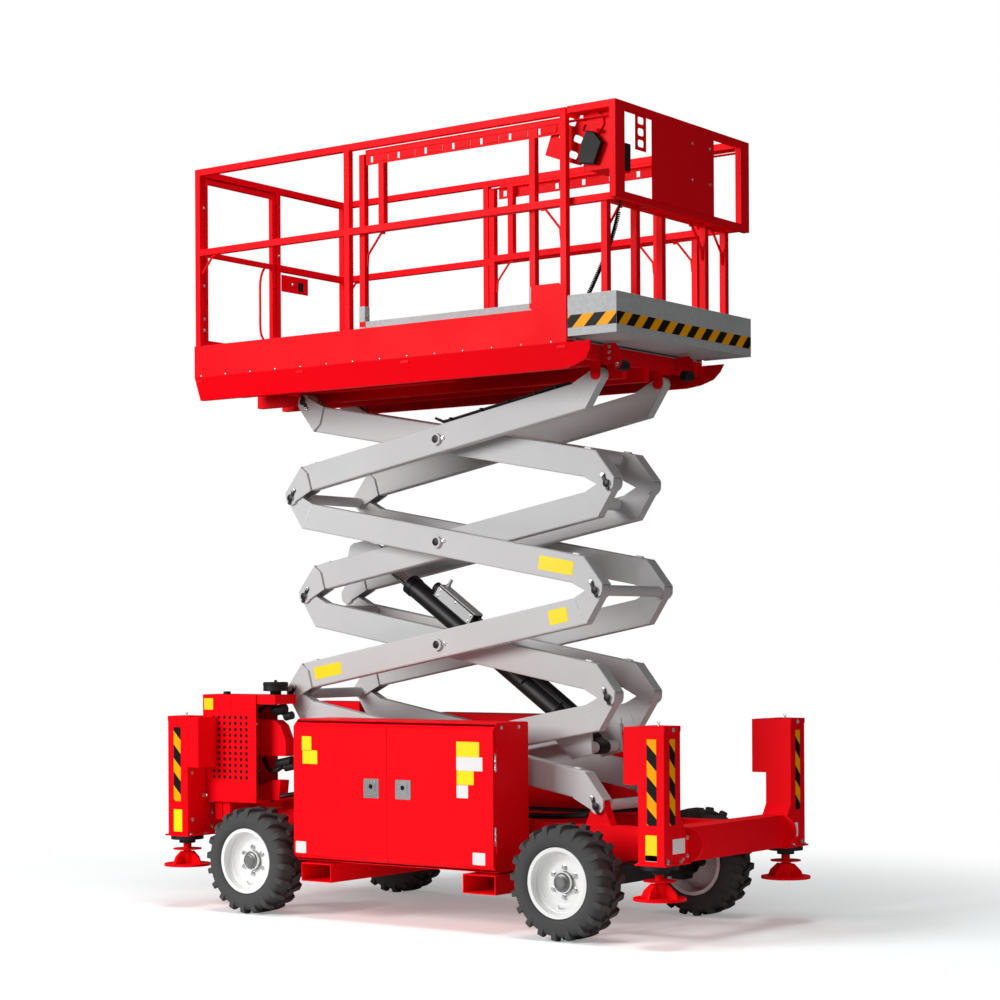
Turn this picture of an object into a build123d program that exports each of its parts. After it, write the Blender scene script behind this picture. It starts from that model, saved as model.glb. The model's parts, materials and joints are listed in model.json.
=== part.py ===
"""Diesel rough-terrain scissor lift with outriggers, 8 m class.

Frame: millimetres, +X to the front, +Y to the machine's left, +Z up.
The origin is on the ground, under the middle of the machine.
"""
from build123d import *
from math import atan2, cos, pi, radians, sin, sqrt, tan
import os

os.makedirs("parts", exist_ok=True)

# ---------------------------------------------------------------- driving sizes
WHEELBASE = 2000.0
TRACK = 1220.0
TYRE_OD = 560.0
TYRE_WIDTH = 205.0
RIM_RADIUS = 171.0
KINGPIN_Y = 450.0

RAIL_Y = 285.0            # middle of a chassis rail and of an outer arm
RAIL_WIDTH = 70.0
RAIL_BOTTOM = 370.0
RAIL_TOP = 530.0

END_X = 1586.0            # front face of the front beam, rear face of the rear one
POST_SIZE = 143.0         # outrigger housing, square
POST_OUTER_Y = 669.0
POST_BOTTOM = 395.0
POST_TOP = 1032.0
POST_WALL = 8.0
LEG_RADIUS = 22.0
LEG_TOP = 930.0
PAD_RADIUS = 125.0
PAD_BOTTOM = 222.0
PAD_THICK = 13.0
LEG_TRAVEL = 300.0
BASE_THICK = 9.0          # bolted plate under a housing
BASE_LIP = 13.0
COLLAR_RADIUS = 88.0      # bearing ring under it
COLLAR_STEP = 20.0
BEAM_FLANGE_RADIUS = 80.0 # round plates on the end beams
FLARE_Y = 455.0            # inner end of a housing's widened foot
FLARE_Z = (500.0, 605.0)

PIVOT_X = 981.0           # fixed lower pivot of the scissor
PIVOT_Z = 622.0
REST_ANGLE = 15.0         # pin line of an arm above level, as parked here
ARM_LENGTH = 2044.0       # pin to pin
ARM_HEIGHT = 141.0
ARM_WIDTH = 60.0
ARM_WALL = 6.0
ARM_CORNER = 9.0          # rounded corners of the tube
ARM_LEAN = 4.55           # straight body of an arm below its pin line
LEVELS = 4
STOWED_ANGLE = 4.5
LIFTED_ANGLE = 60.0
OUTER_Y = RAIL_Y
INNER_Y = 178.0
PIN_RADIUS = 20.0
PIN_FIT = 0.4
PIN_HEAD = 8.0            # a pin's end outside its fork
TIE_RADIUS = 27.0
BODY_TIE = 32.0           # tube between the two inner arms of a level
SIDE_GAP = 1.5            # knuckle to cheek
CHEEK = 12.0              # side plates of a fork
FACE = 8.0                # its end plate
EYE = 37.0                # round of a fork or of a knuckle about its pin
FOLD_RADIUS = 9.0
RING_RADIUS = 31.0        # end of a middle pivot
RING_BORE = 21.0
ROLLER_RADIUS = 42.0
ROLLER_WIDTH = 52.0
ROLLER_GAP = 0.5

# Corners of an arm's end from its pin, in the arm's own frame: u along the body and
# v towards the side the body lies on.  Fork and knuckle are cut from the same mitre.
END_TOP_U = 96.0          # outer corner of the mitre
END_KINK_U = 143.0        # inner corner of the mitre
FORK_TIP = (-32.0, 40.0)  # free edge of the end plate
WELD_POINT = (134.0, 106.0)

CAB_X0, CAB_X1 = -682.0, 605.0
CAB_OUTER_Y = 669.0
CAB_INNER_Y = 372.0
CAB_Z0, CAB_Z1 = 300.0, 1030.0
CAB_CHAMFER = 34.0
CAB_WALL = 5.0
DOOR_DEPTH = 20.0
DOOR_SPLIT_X = -60.0
DOOR_GAP = 3.0
HINGE_RADIUS = 6.0
HINGE_PIN = 3.5
HINGE_Z = (430.0, 880.0)
HINGE_LENGTH = 30.0
RUN_GAP = 0.3             # sliding pads and hinge faces

POCKET_X = (-539.0, 511.0)
POCKET_WIDTH = 200.0
POCKET_HEIGHT = 96.0
POCKET_WALL = 6.0

BAY_X0, BAY_X1 = -1468.0, -1080.0
BAY_OUTER_Y, BAY_INNER_Y = 520.0, 345.0
BAY_Z0, BAY_Z1 = 576.0, 1150.0
BAY_WALL = 4.0

DECK_X0, DECK_X1 = -1420.0, 1020.0
DECK_HALF = 622.0
FLOOR_RISE = 142.0         # floor above the scissor's top pins
TOE_HEIGHT = 151.0
SKIRT_FOLD_DROP = 18.0
SKIRT_DROP = 138.0
SKIRT_LEAN = 45.0
SHEET = 5.0
RAIL_TUBE = 34.0
RAIL_HEIGHT = 1105.0
MID_RAIL_HEIGHT = 655.0

EXT_X0, EXT_X1 = -300.0, 1310.0
EXT_HALF = 628.0
EXT_TUBE_Y = 560.0
EXT_TOE_HEIGHT = 198.0
EXT_RISE = 6.0             # lower edge of the extension's sides above the floor
EXT_FLOOR_GAP = 8.0
EXT_FLOOR_THICK = 20.0
LOWER_FRAME_HEIGHT = 661.0
EXT_POST_X = 1200.0

BARREL_RADIUS = 52.0
ROD_RADIUS = 32.0

AXLE_Z = TYRE_OD / 2
HALF_BASE = WHEELBASE / 2
WHEEL_Y = TRACK / 2
PEN = Mode.ADD
CUT = Mode.SUBTRACT


def block(x0, x1, y0, y1, z0, z1, mode=PEN):
    """Box between two corners, added to the open part."""
    with Locations(((x0 + x1) / 2, (y0 + y1) / 2, (z0 + z1) / 2)):
        Box(x1 - x0, abs(y1 - y0), z1 - z0, mode=mode)


def rod_y(x, z, radius, y0, y1, mode=PEN):
    """Cylinder along Y."""
    with Locations(Location((x, (y0 + y1) / 2, z), (90, 0, 0))):
        Cylinder(radius, abs(y1 - y0), mode=mode)


def rod_x(y, z, radius, x0, x1, mode=PEN):
    """Cylinder along X."""
    with Locations(Location(((x0 + x1) / 2, y, z), (0, 90, 0))):
        Cylinder(radius, abs(x1 - x0), mode=mode)


def rod_z(x, y, radius, z0, z1, mode=PEN):
    """Cylinder along Z."""
    with Locations(((x, y, (z0 + z1) / 2))):
        Cylinder(radius, abs(z1 - z0), mode=mode)


def save(part, label):
    part.label = label
    export_step(part, f"parts/{label}.step")


# ------------------------------------------------------------------ scissor pack
# An arm in its own plane: body level through (0, 0), lower pin at (-PIN_U, -PIN_V),
# upper pin at (PIN_U, PIN_V).
HALF_H = ARM_HEIGHT / 2
LEAN = radians(ARM_LEAN)
PIN_U = ARM_LENGTH / 2 * cos(LEAN)
PIN_V = ARM_LENGTH / 2 * sin(LEAN)
REST = radians(REST_ANGLE)
BODY_SLOPE = radians(REST_ANGLE - ARM_LEAN)
LEVEL = ARM_LENGTH * sin(REST)
CENTRE_X = PIVOT_X - ARM_LENGTH * cos(REST) / 2
TOP_Z = PIVOT_Z + LEVELS * LEVEL
FORK_OUT = ARM_WIDTH / 2 + CHEEK
KNUCKLE_WIDTH = ARM_WIDTH - 2 * SIDE_GAP
MITRE_TOP = (END_TOP_U, PIN_V + HALF_H)
MITRE_KINK = (END_KINK_U, PIN_V - HALF_H)
FLOOR_Z = TOP_Z + FLOOR_RISE
TOE_TOP = FLOOR_Z + TOE_HEIGHT
SKIRT_FOLD_Z = FLOOR_Z - SKIRT_FOLD_DROP
SKIRT_BOTTOM = FLOOR_Z - SKIRT_DROP
RAIL_TOP_Z = FLOOR_Z + RAIL_HEIGHT
MID_RAIL_Z = FLOOR_Z + MID_RAIL_HEIGHT
EXT_TOE_TOP = FLOOR_Z + EXT_TOE_HEIGHT
EXT_BOTTOM = FLOOR_Z + EXT_RISE
LOWER_FRAME_Z = FLOOR_Z + LOWER_FRAME_HEIGHT


def at_end(end, point):
    """Point of an arm's plane, given by (u, v) from the pin of one end, -1 or +1."""
    return end * (PIN_U - point[0]), end * (PIN_V - point[1])


def shifted(point, toward, distance):
    """Point moved along the line towards another one."""
    dx, dy = toward[0] - point[0], toward[1] - point[1]
    share = distance / sqrt(dx * dx + dy * dy)
    return point[0] + dx * share, point[1] + dy * share


def inset(point, line_start, line_end, depth):
    """Point moved square to a line, to its right."""
    dx, dy = line_end[0] - line_start[0], line_end[1] - line_start[1]
    length = sqrt(dx * dx + dy * dy)
    return point[0] + dy / length * depth, point[1] - dx / length * depth


def arm_plane(level, to_front, y):
    """Side plane of an arm of one level, at rest, x along its body and y up."""
    origin = (CENTRE_X, y, PIVOT_Z + (level - 0.5) * LEVEL)
    if to_front:
        return Plane(origin=origin, x_dir=(cos(BODY_SLOPE), 0, sin(BODY_SLOPE)), z_dir=(0, -1, 0))
    return Plane(origin=origin, x_dir=(-cos(BODY_SLOPE), 0, sin(BODY_SLOPE)), z_dir=(0, 1, 0))


def slab(plane, points, width, mode=PEN):
    """Outline given by points, extruded both ways to a total width."""
    with BuildSketch(plane) as side_view:
        with BuildLine():
            Polyline(*points, close=True)
        make_face()
    extrude(side_view.sketch, amount=width / 2, both=True, mode=mode)


def disc(plane, centre, radius, width, mode=PEN, lift=0.0):
    """Round on a side plane, `width` thick about the plane, lifted off it if asked."""
    with BuildSketch(plane.offset(lift)) as round_view:
        with Locations(centre):
            Circle(radius)
    extrude(round_view.sketch, amount=width / 2, both=True, mode=mode)


def fork(plane, end):
    """Open fork of folded plate: two cheeks over the tube's sides and an end plate."""
    # straight lower edge of a cheek, then its round about the pin
    outline = [MITRE_TOP, WELD_POINT, MITRE_KINK, (-10.0, -0.9 * EYE), (-EYE, -4.0), (-EYE, 2.0), FORK_TIP]
    for lift in (-1, 1):
        side = plane.offset(lift * (ARM_WIDTH + CHEEK) / 2)
        slab(side, [at_end(end, p) for p in outline], CHEEK)
        disc(side, at_end(end, (0, 0)), EYE, CHEEK)
    tip_in = inset(FORK_TIP, FORK_TIP, MITRE_TOP, FACE)
    top_in = inset(shifted(MITRE_TOP, FORK_TIP, -3.0), FORK_TIP, MITRE_TOP, FACE)
    slab(plane, [at_end(end, p) for p in (FORK_TIP, MITRE_TOP, top_in, tip_in)], 2 * FORK_OUT)
    middle = at_end(end, ((FORK_TIP[0] + MITRE_TOP[0]) / 2, (FORK_TIP[1] + MITRE_TOP[1]) / 2))
    folds = [edges().sort_by_distance(plane.from_local_coords((*middle, lift * FORK_OUT)))[0] for lift in (-1, 1)]
    fillet(folds, FOLD_RADIUS)


def knuckle(plane, end):
    """Narrow end that turns in the fork of the next arm."""
    outline = [MITRE_TOP, MITRE_KINK, (10.0, -0.82 * EYE), (0, 0), (-0.81 * EYE, 0.59 * EYE)]
    slab(plane, [at_end(end, p) for p in outline], KNUCKLE_WIDTH)
    disc(plane, at_end(end, (0, 0)), EYE, KNUCKLE_WIDTH)
    disc(plane, at_end(end, (0, 0)), PIN_RADIUS + PIN_FIT, 2 * ARM_WIDTH, CUT)


def arm_side(level, to_front, y, upper_fork=False):
    """One arm: rounded box tube between two mitres, and its two ends."""
    plane = arm_plane(level, to_front, y)
    across = Plane(origin=plane.origin, x_dir=(0, 1, 0), z_dir=plane.x_dir)
    with BuildSketch(across) as section:
        RectangleRounded(ARM_WIDTH, ARM_HEIGHT, ARM_CORNER)
        RectangleRounded(ARM_WIDTH - 2 * ARM_WALL, ARM_HEIGHT - 2 * ARM_WALL, ARM_CORNER - ARM_WALL, mode=CUT)
    extrude(section.sketch, amount=PIN_U - END_TOP_U + 1, both=True)
    beyond_top = shifted(MITRE_TOP, MITRE_KINK, -10.0)
    beyond_kink = shifted(MITRE_KINK, MITRE_TOP, -10.0)
    wedge = [beyond_top, beyond_kink, (0, beyond_kink[1]), (0, beyond_top[1])]
    for end in (-1, 1):
        slab(plane, [at_end(end, p) for p in wedge], 2 * FORK_OUT, CUT)
    fork(plane, -1)
    if upper_fork:
        fork(plane, 1)
    else:
        knuckle(plane, 1)


def pin_points(level, to_front):
    """World x and z of the lower and upper pins of an arm."""
    side = 1 if to_front else -1
    half = ARM_LENGTH / 2 * cos(REST)
    low, high = PIVOT_Z + (level - 1) * LEVEL, PIVOT_Z + level * LEVEL
    return (CENTRE_X - side * half, low), (CENTRE_X + side * half, high)


EYE_RADIUS = 26.0
HUB_RADIUS = PIN_RADIUS + 14
TIE_POINT = (200.0, -34.0)     # a tie between inner arms, from the pin, v from the body's middle
LOW_LUG = (780.0, -135.0)      # cylinder's foot in the first inner arms' own plane
HIGH_LUG = (-680.0, 106.0)     # rod's eye in the third inner arms' own plane
LUG_GAP = 4.0
EYE_WIDTH = 90.0
LUG_THICK = 16.0
LUG_STEP = 6.0                 # lug plates set in from the arms' inner faces
TIE_ENDS = (-1, 1, 1, -1)      # the end each level's tie is near
# outline of a lug plate about its pin, and the strip that joins it to its arm
LOW_PLATE = ((-200, 110), (-84, -44), (39, -35), (48, 26), (56, 110))
HIGH_PLATE = ((-70, -90), (-61, -21), (-36, 28), (-8, 40), (63, 37), (161, -8), (215, -90))


def on_arm(level, point):
    """World x and z of a point of a forward-rising arm's own plane."""
    x = CENTRE_X + point[0] * cos(BODY_SLOPE) - point[1] * sin(BODY_SLOPE)
    z = PIVOT_Z + (level - 0.5) * LEVEL + point[0] * sin(BODY_SLOPE) + point[1] * cos(BODY_SLOPE)
    return x, z


for level in range(1, LEVELS + 1):
    to_front = level % 2 == 0
    low, high = pin_points(level, to_front)
    centre = (CENTRE_X, PIVOT_Z + (level - 0.5) * LEVEL)
    cheek_in, cheek_out = OUTER_Y - FORK_OUT, OUTER_Y + FORK_OUT
    body_in, body_out = OUTER_Y - ARM_WIDTH / 2, OUTER_Y + ARM_WIDTH / 2
    with BuildPart() as outer:
        for side in (-1, 1):
            arm_side(level, to_front, side * OUTER_Y)
        for side in (-1, 1):
            # pin through the fork, and the middle pivot with its ring through both arms
            rod_y(*low, PIN_RADIUS, side * (cheek_in - 1), side * (cheek_out + PIN_HEAD))
            rod_y(*centre, PIN_RADIUS, side * (INNER_Y - ARM_WIDTH / 2 - 4), side * body_out)
            rod_y(*centre, RING_RADIUS, side * (INNER_Y + ARM_WIDTH / 2 + 1), side * (body_out + 15))
            rod_y(*centre, RING_BORE, side * (body_out + 5), side * (body_out + 16), CUT)
        rod_y(*low, TIE_RADIUS, -cheek_in, cheek_in)
    save(outer.part, f"outer_arms_{level}")

for level in range(1, LEVELS + 1):
    to_front = level % 2 == 1
    low, high = pin_points(level, to_front)
    centre = (CENTRE_X, PIVOT_Z + (level - 0.5) * LEVEL)
    inside_y = INNER_Y - ARM_WIDTH / 2
    outside_y = INNER_Y + ARM_WIDTH / 2
    rollers = ([low] if level == 1 else []) + ([high] if level == LEVELS else [])
    with BuildPart() as inner:
        for side in (-1, 1):
            arm_side(level, to_front, side * INNER_Y, upper_fork=level == LEVELS)
        for side in (-1, 1):
            rod_y(*centre, HUB_RADIUS, side * inside_y, side * outside_y)
            rod_y(*centre, PIN_RADIUS + PIN_FIT, side * (inside_y - 10), side * (outside_y + 10), CUT)
            for pin in [low] + ([high] if level == LEVELS else []):
                rod_y(*pin, PIN_RADIUS, side * (INNER_Y - FORK_OUT), side * (INNER_Y + FORK_OUT + PIN_HEAD))
            for axle in rollers:
                rod_y(*axle, ROLLER_RADIUS, side * (INNER_Y - ROLLER_WIDTH / 2), side * (INNER_Y + ROLLER_WIDTH / 2))
        plane = arm_plane(level, to_front, 0)
        tie_end = TIE_ENDS[level - 1]
        disc(plane, (tie_end * (PIN_U - TIE_POINT[0]), -TIE_POINT[1]), BODY_TIE, 2 * inside_y)
        if level in (1, 3):
            lug, plate = (LOW_LUG, LOW_PLATE) if level == 1 else (HIGH_LUG, HIGH_PLATE)
            foot = [(lug[0] + u, lug[1] + v) for u, v in plate]
            root_v = HALF_H - ARM_CORNER if lug[1] > 0 else ARM_CORNER - HALF_H
            root = [(lug[0] + plate[0][0], 0), (lug[0] + plate[-1][0], 0),
                    (lug[0] + plate[-1][0], root_v), (lug[0] + plate[0][0], root_v)]
            plate_out = inside_y - LUG_STEP
            collar_width = plate_out - EYE_WIDTH / 2 - LUG_GAP
            for side in (-1, 1):
                slab(plane.offset(side * (plate_out - LUG_THICK / 2)), foot, LUG_THICK)
                slab(plane.offset(side * (inside_y - LUG_STEP / 2)), root, LUG_STEP)
                disc(plane, lug, EYE_RADIUS + 4, collar_width, lift=side * (plate_out - collar_width / 2))
            if level == 1:
                disc(plane, lug, PIN_RADIUS, 2 * plate_out)
    save(inner.part, f"inner_arms_{level}")

# lift cylinder between the lugs of inner arms 1 and 3
foot_x, foot_z = on_arm(1, LOW_LUG)
eye_x, eye_z = on_arm(3, HIGH_LUG)
CYL_LENGTH = sqrt((eye_x - foot_x) ** 2 + (eye_z - foot_z) ** 2)
CYL_ANGLE = atan2(eye_z - foot_z, eye_x - foot_x)
BARREL_END = 1480.0
BARREL_WALL = 9.0
BARREL_FOOT = EYE_RADIUS + 18
ROD_LENGTH = 1470.0            # piston's lower face to the eye
GLAND_LENGTH = 40.0
VALVE_X = (1010.0, 1300.0)     # valve block on the barrel's upper side
VALVE_WIDTH, VALVE_DEPTH = 74.0, 62.0
PIPE_RADIUS = 9.0
cyl_plane = Plane(origin=(foot_x, 0, foot_z), x_dir=(0, 1, 0), z_dir=(cos(CYL_ANGLE), 0, sin(CYL_ANGLE)))
cyl_side = Plane(origin=(foot_x, 0, foot_z), x_dir=(cos(CYL_ANGLE), 0, sin(CYL_ANGLE)), z_dir=(0, -1, 0))
with BuildPart() as barrel:
    with BuildSketch(cyl_plane.offset(BARREL_FOOT)):
        Circle(BARREL_RADIUS)
        Circle(BARREL_RADIUS - BARREL_WALL, mode=CUT)
    extrude(amount=BARREL_END - BARREL_FOOT)
    with BuildSketch(cyl_plane.offset(BARREL_FOOT)):
        Circle(BARREL_RADIUS - BARREL_WALL / 2)
    extrude(amount=20)
    with BuildSketch(cyl_plane.offset(BARREL_END - GLAND_LENGTH)):
        Circle(BARREL_RADIUS + 4)
        Circle(ROD_RADIUS + PIN_FIT, mode=CUT)
    extrude(amount=GLAND_LENGTH)
    slab(cyl_side, [(0, -30), (BARREL_FOOT + 6, -30), (BARREL_FOOT + 6, 30), (0, 30)], EYE_WIDTH)
    disc(cyl_side, (0, 0), 36, EYE_WIDTH)
    disc(cyl_side, (0, 0), PIN_RADIUS + PIN_FIT, EYE_WIDTH + 4, CUT)
    # valve block and pipes on the upper side, -y in this plane
    top = -(BARREL_RADIUS - BARREL_WALL / 2)
    slab(cyl_side, [(VALVE_X[0], top), (VALVE_X[1], top), (VALVE_X[1], top - VALVE_DEPTH),
                    (VALVE_X[1] - 18, top - VALVE_DEPTH - 8), (VALVE_X[0], top - VALVE_DEPTH - 8)], VALVE_WIDTH)
    for y in (-22, 22):
        with BuildSketch(cyl_plane.offset(BARREL_FOOT + 60)) as pipe:
            with Locations((y, -sqrt((BARREL_RADIUS + PIPE_RADIUS - 3) ** 2 - y ** 2))):
                Circle(PIPE_RADIUS)
        extrude(pipe.sketch, amount=VALVE_X[0] - BARREL_FOOT - 50)
save(barrel.part, "cylinder_barrel")

with BuildPart() as rod:
    with BuildSketch(cyl_plane.offset(CYL_LENGTH - ROD_LENGTH)):
        Circle(BARREL_RADIUS - BARREL_WALL - PIN_FIT)
    extrude(amount=40)
    with BuildSketch(cyl_plane.offset(CYL_LENGTH - ROD_LENGTH)):
        Circle(ROD_RADIUS)
    extrude(amount=ROD_LENGTH - PIN_RADIUS)
    disc(cyl_side, (CYL_LENGTH, 0), 38, EYE_WIDTH)
save(rod.part, "cylinder_rod")


# ------------------------------------------------------------------------ chassis
SIDES = (-1, 1)
EAR = KNUCKLE_WIDTH
TRACK_TOP = PIVOT_Z - ROLLER_RADIUS - ROLLER_GAP
TRACK_PLATE = 16.0
TRACK_INNER_Y = INNER_Y - ROLLER_WIDTH / 2 - 2
STOWED = radians(STOWED_ANGLE)
TRACK_X0 = PIVOT_X - ARM_LENGTH * cos(STOWED) - 60
TRACK_X1 = PIVOT_X - ARM_LENGTH * cos(radians(LIFTED_ANGLE)) + 60
POST_INNER_X = END_X - POST_SIZE
POST_INNER_Y = POST_OUTER_Y - POST_SIZE
BEAM_Z0, BEAM_Z1 = 393.0, 554.0
BEAM_X = END_X - 115

with BuildPart() as chassis:
    for side in SIDES:
        y0, y1 = side * (RAIL_Y - RAIL_WIDTH / 2), side * (RAIL_Y + RAIL_WIDTH / 2)
        block(-BEAM_X, BEAM_X, y0, y1, RAIL_BOTTOM, RAIL_TOP)
        # track for the lower rollers
        stand_y = RAIL_Y - RAIL_WIDTH / 2
        block(TRACK_X0, TRACK_X1, side * TRACK_INNER_Y, side * (stand_y + TRACK_PLATE), TRACK_TOP - TRACK_PLATE, TRACK_TOP)
        block(TRACK_X0, TRACK_X1, side * stand_y, side * (stand_y + TRACK_PLATE), RAIL_TOP - TRACK_PLATE, TRACK_TOP - TRACK_PLATE)
        # ear inside the fork of the first outer arm
        with BuildSketch(Plane.XZ.offset(-side * RAIL_Y)):
            with BuildLine():
                Polyline((PIVOT_X - 2 * EYE, RAIL_TOP), (PIVOT_X + 2 * EYE, RAIL_TOP), (PIVOT_X + EYE - 1, PIVOT_Z),
                         (PIVOT_X - EYE + 1, PIVOT_Z), close=True)
            make_face()
            with Locations((PIVOT_X, PIVOT_Z)):
                Circle(EYE)
                Circle(PIN_RADIUS + PIN_FIT, mode=CUT)
        extrude(amount=EAR / 2, both=True)
    for end in SIDES:
        block(min(end * BEAM_X, end * END_X), max(end * BEAM_X, end * END_X), -FLARE_Y, FLARE_Y,
              BEAM_Z0, BEAM_Z1)
        for side in SIDES:
            rod_y(end * (END_X - 8), (BEAM_Z0 + BEAM_Z1) / 2, BEAM_FLANGE_RADIUS,
                  side * (FLARE_Y - 10), side * FLARE_Y)
        # cross member beside each axle
        x = end * (HALF_BASE + 170)
        block(x - 30, x + 30, -RAIL_Y, RAIL_Y, RAIL_BOTTOM, RAIL_TOP - 20)
    # fork pockets under the rails
    for x in POCKET_X:
        top = RAIL_BOTTOM - 80
        block(x - POCKET_WIDTH / 2, x + POCKET_WIDTH / 2, -CAB_OUTER_Y + 8, CAB_OUTER_Y - 8, top - POCKET_HEIGHT, top)
        block(x - POCKET_WIDTH / 2 + POCKET_WALL, x + POCKET_WIDTH / 2 - POCKET_WALL, -CAB_OUTER_Y, CAB_OUTER_Y,
              top - POCKET_HEIGHT + POCKET_WALL, top - POCKET_WALL, CUT)
        for side in SIDES:
            block(x - 60, x + 60, side * (RAIL_Y - 30), side * (RAIL_Y + 30), top, RAIL_BOTTOM)
    # outriggers for the cabinets: brackets from rail to cabinet back
    for side in SIDES:
        for x in (CAB_X0 + 160, CAB_X1 - 160):
            block(x - 30, x + 30, side * (RAIL_Y + RAIL_WIDTH / 2), side * CAB_INNER_Y, RAIL_BOTTOM + 20, RAIL_TOP - 20)
    # floor of the engine and tank bays
    for side in SIDES:
        block(2 - POST_INNER_X, BAY_X1, side * (RAIL_Y - RAIL_WIDTH / 2), side * BAY_OUTER_Y, BAY_Z0 - 6, BAY_Z0)
        for x in (BAY_X0 + 60, -HALF_BASE - TYRE_OD / 2 - 70):
            block(x, x + 50, side * (RAIL_Y - RAIL_WIDTH / 2), side * (BAY_OUTER_Y - 30), RAIL_TOP - 60, BAY_Z0 - 6)
save(chassis.part, "chassis_frame")

COVER_Z = 760.0
with BuildPart() as housings:
    for end in SIDES:
        for side in SIDES:
            x = end * (END_X - POST_SIZE / 2)
            y = side * (POST_OUTER_Y - POST_SIZE / 2)
            with BuildSketch(Plane.XY.offset(POST_BOTTOM)) as tube:
                with Locations((x, y)):
                    Rectangle(POST_SIZE, POST_SIZE)
                    Rectangle(POST_SIZE - 2 * POST_WALL, POST_SIZE - 2 * POST_WALL, mode=CUT)
            extrude(tube.sketch, amount=POST_TOP - POST_BOTTOM)
            block(x - POST_SIZE / 2, x + POST_SIZE / 2, y - POST_SIZE / 2, y + POST_SIZE / 2, POST_TOP - 6, POST_TOP)
            # guides round the leg, and the plate under the post
            inside = POST_SIZE / 2 - POST_WALL
            for z in (POST_BOTTOM, POST_BOTTOM + 150):
                block(x - inside, x + inside, y - inside, y + inside, z, z + 40)
            with BuildSketch(Plane.YZ.offset(x)) as flare:
                with BuildLine():
                    Polyline((side * POST_INNER_Y, POST_BOTTOM), (side * FLARE_Y, POST_BOTTOM), (side * FLARE_Y, FLARE_Z[0]),
                             (side * POST_INNER_Y, FLARE_Z[1]), close=True)
                make_face()
            extrude(flare.sketch, amount=POST_SIZE / 2, both=True)
            reach = POST_SIZE / 2 + BASE_LIP
            block(x - reach, x + reach, side * (FLARE_Y + 2), side * (POST_OUTER_Y + BASE_LIP),
                  POST_BOTTOM - BASE_THICK, POST_BOTTOM)
            rod_z(x, y, LEG_RADIUS + RUN_GAP, POST_BOTTOM - BASE_THICK - 1, POST_BOTTOM + 191, CUT)
            # hose cover on the inner side of the post
            cover = end * (POST_INNER_X - 40)
            block(cover - 40, cover + 40, y - POST_SIZE / 2, y + POST_SIZE / 2, COVER_Z, POST_TOP - 2)
save(housings.part, "outrigger_housings")

with BuildPart() as collars:
    for end in SIDES:
        for side in SIDES:
            x = end * (END_X - POST_SIZE / 2)
            y = side * (POST_OUTER_Y - POST_SIZE / 2)
            top = POST_BOTTOM - BASE_THICK
            rod_z(x, y, COLLAR_RADIUS, top - COLLAR_STEP, top)
            rod_z(x, y, COLLAR_RADIUS / 2, top - 2 * COLLAR_STEP, top - COLLAR_STEP)
            rod_z(x, y, LEG_RADIUS + RUN_GAP, top - 3 * COLLAR_STEP, top + 1, CUT)
save(collars.part, "outrigger_collars")

DUST_RADIUS = 77.0             # red disc over the foot
DUST_Z = 310.0
RIB_TOP = 298.0
for end_name, end in (("rear", -1), ("front", 1)):
    for side_name, side in (("right", -1), ("left", 1)):
        x = end * (END_X - POST_SIZE / 2)
        y = side * (POST_OUTER_Y - POST_SIZE / 2)
        with BuildPart() as leg:
            rod_z(x, y, LEG_RADIUS, PAD_BOTTOM + PAD_THICK, LEG_TOP)
            rod_z(x, y, DUST_RADIUS, DUST_Z, DUST_Z + 6)
            rod_z(x, y, PAD_RADIUS, PAD_BOTTOM, PAD_BOTTOM + PAD_THICK)
            rod_z(x, y, 2 * LEG_RADIUS / 1.3, PAD_BOTTOM + PAD_THICK, RIB_TOP)
            top = PAD_BOTTOM + PAD_THICK
            rib = [(-100, top), (100, top), (88, top + 28), (48, RIB_TOP), (-48, RIB_TOP), (-88, top + 28)]
            for plane in (Plane(origin=(x, y, 0), x_dir=(1, 0, 0), z_dir=(0, -1, 0)),
                          Plane(origin=(x, y, 0), x_dir=(0, 1, 0), z_dir=(1, 0, 0))):
                slab(plane, rib, 10)
        save(leg.part, f"outrigger_leg_{end_name}_{side_name}")

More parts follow.
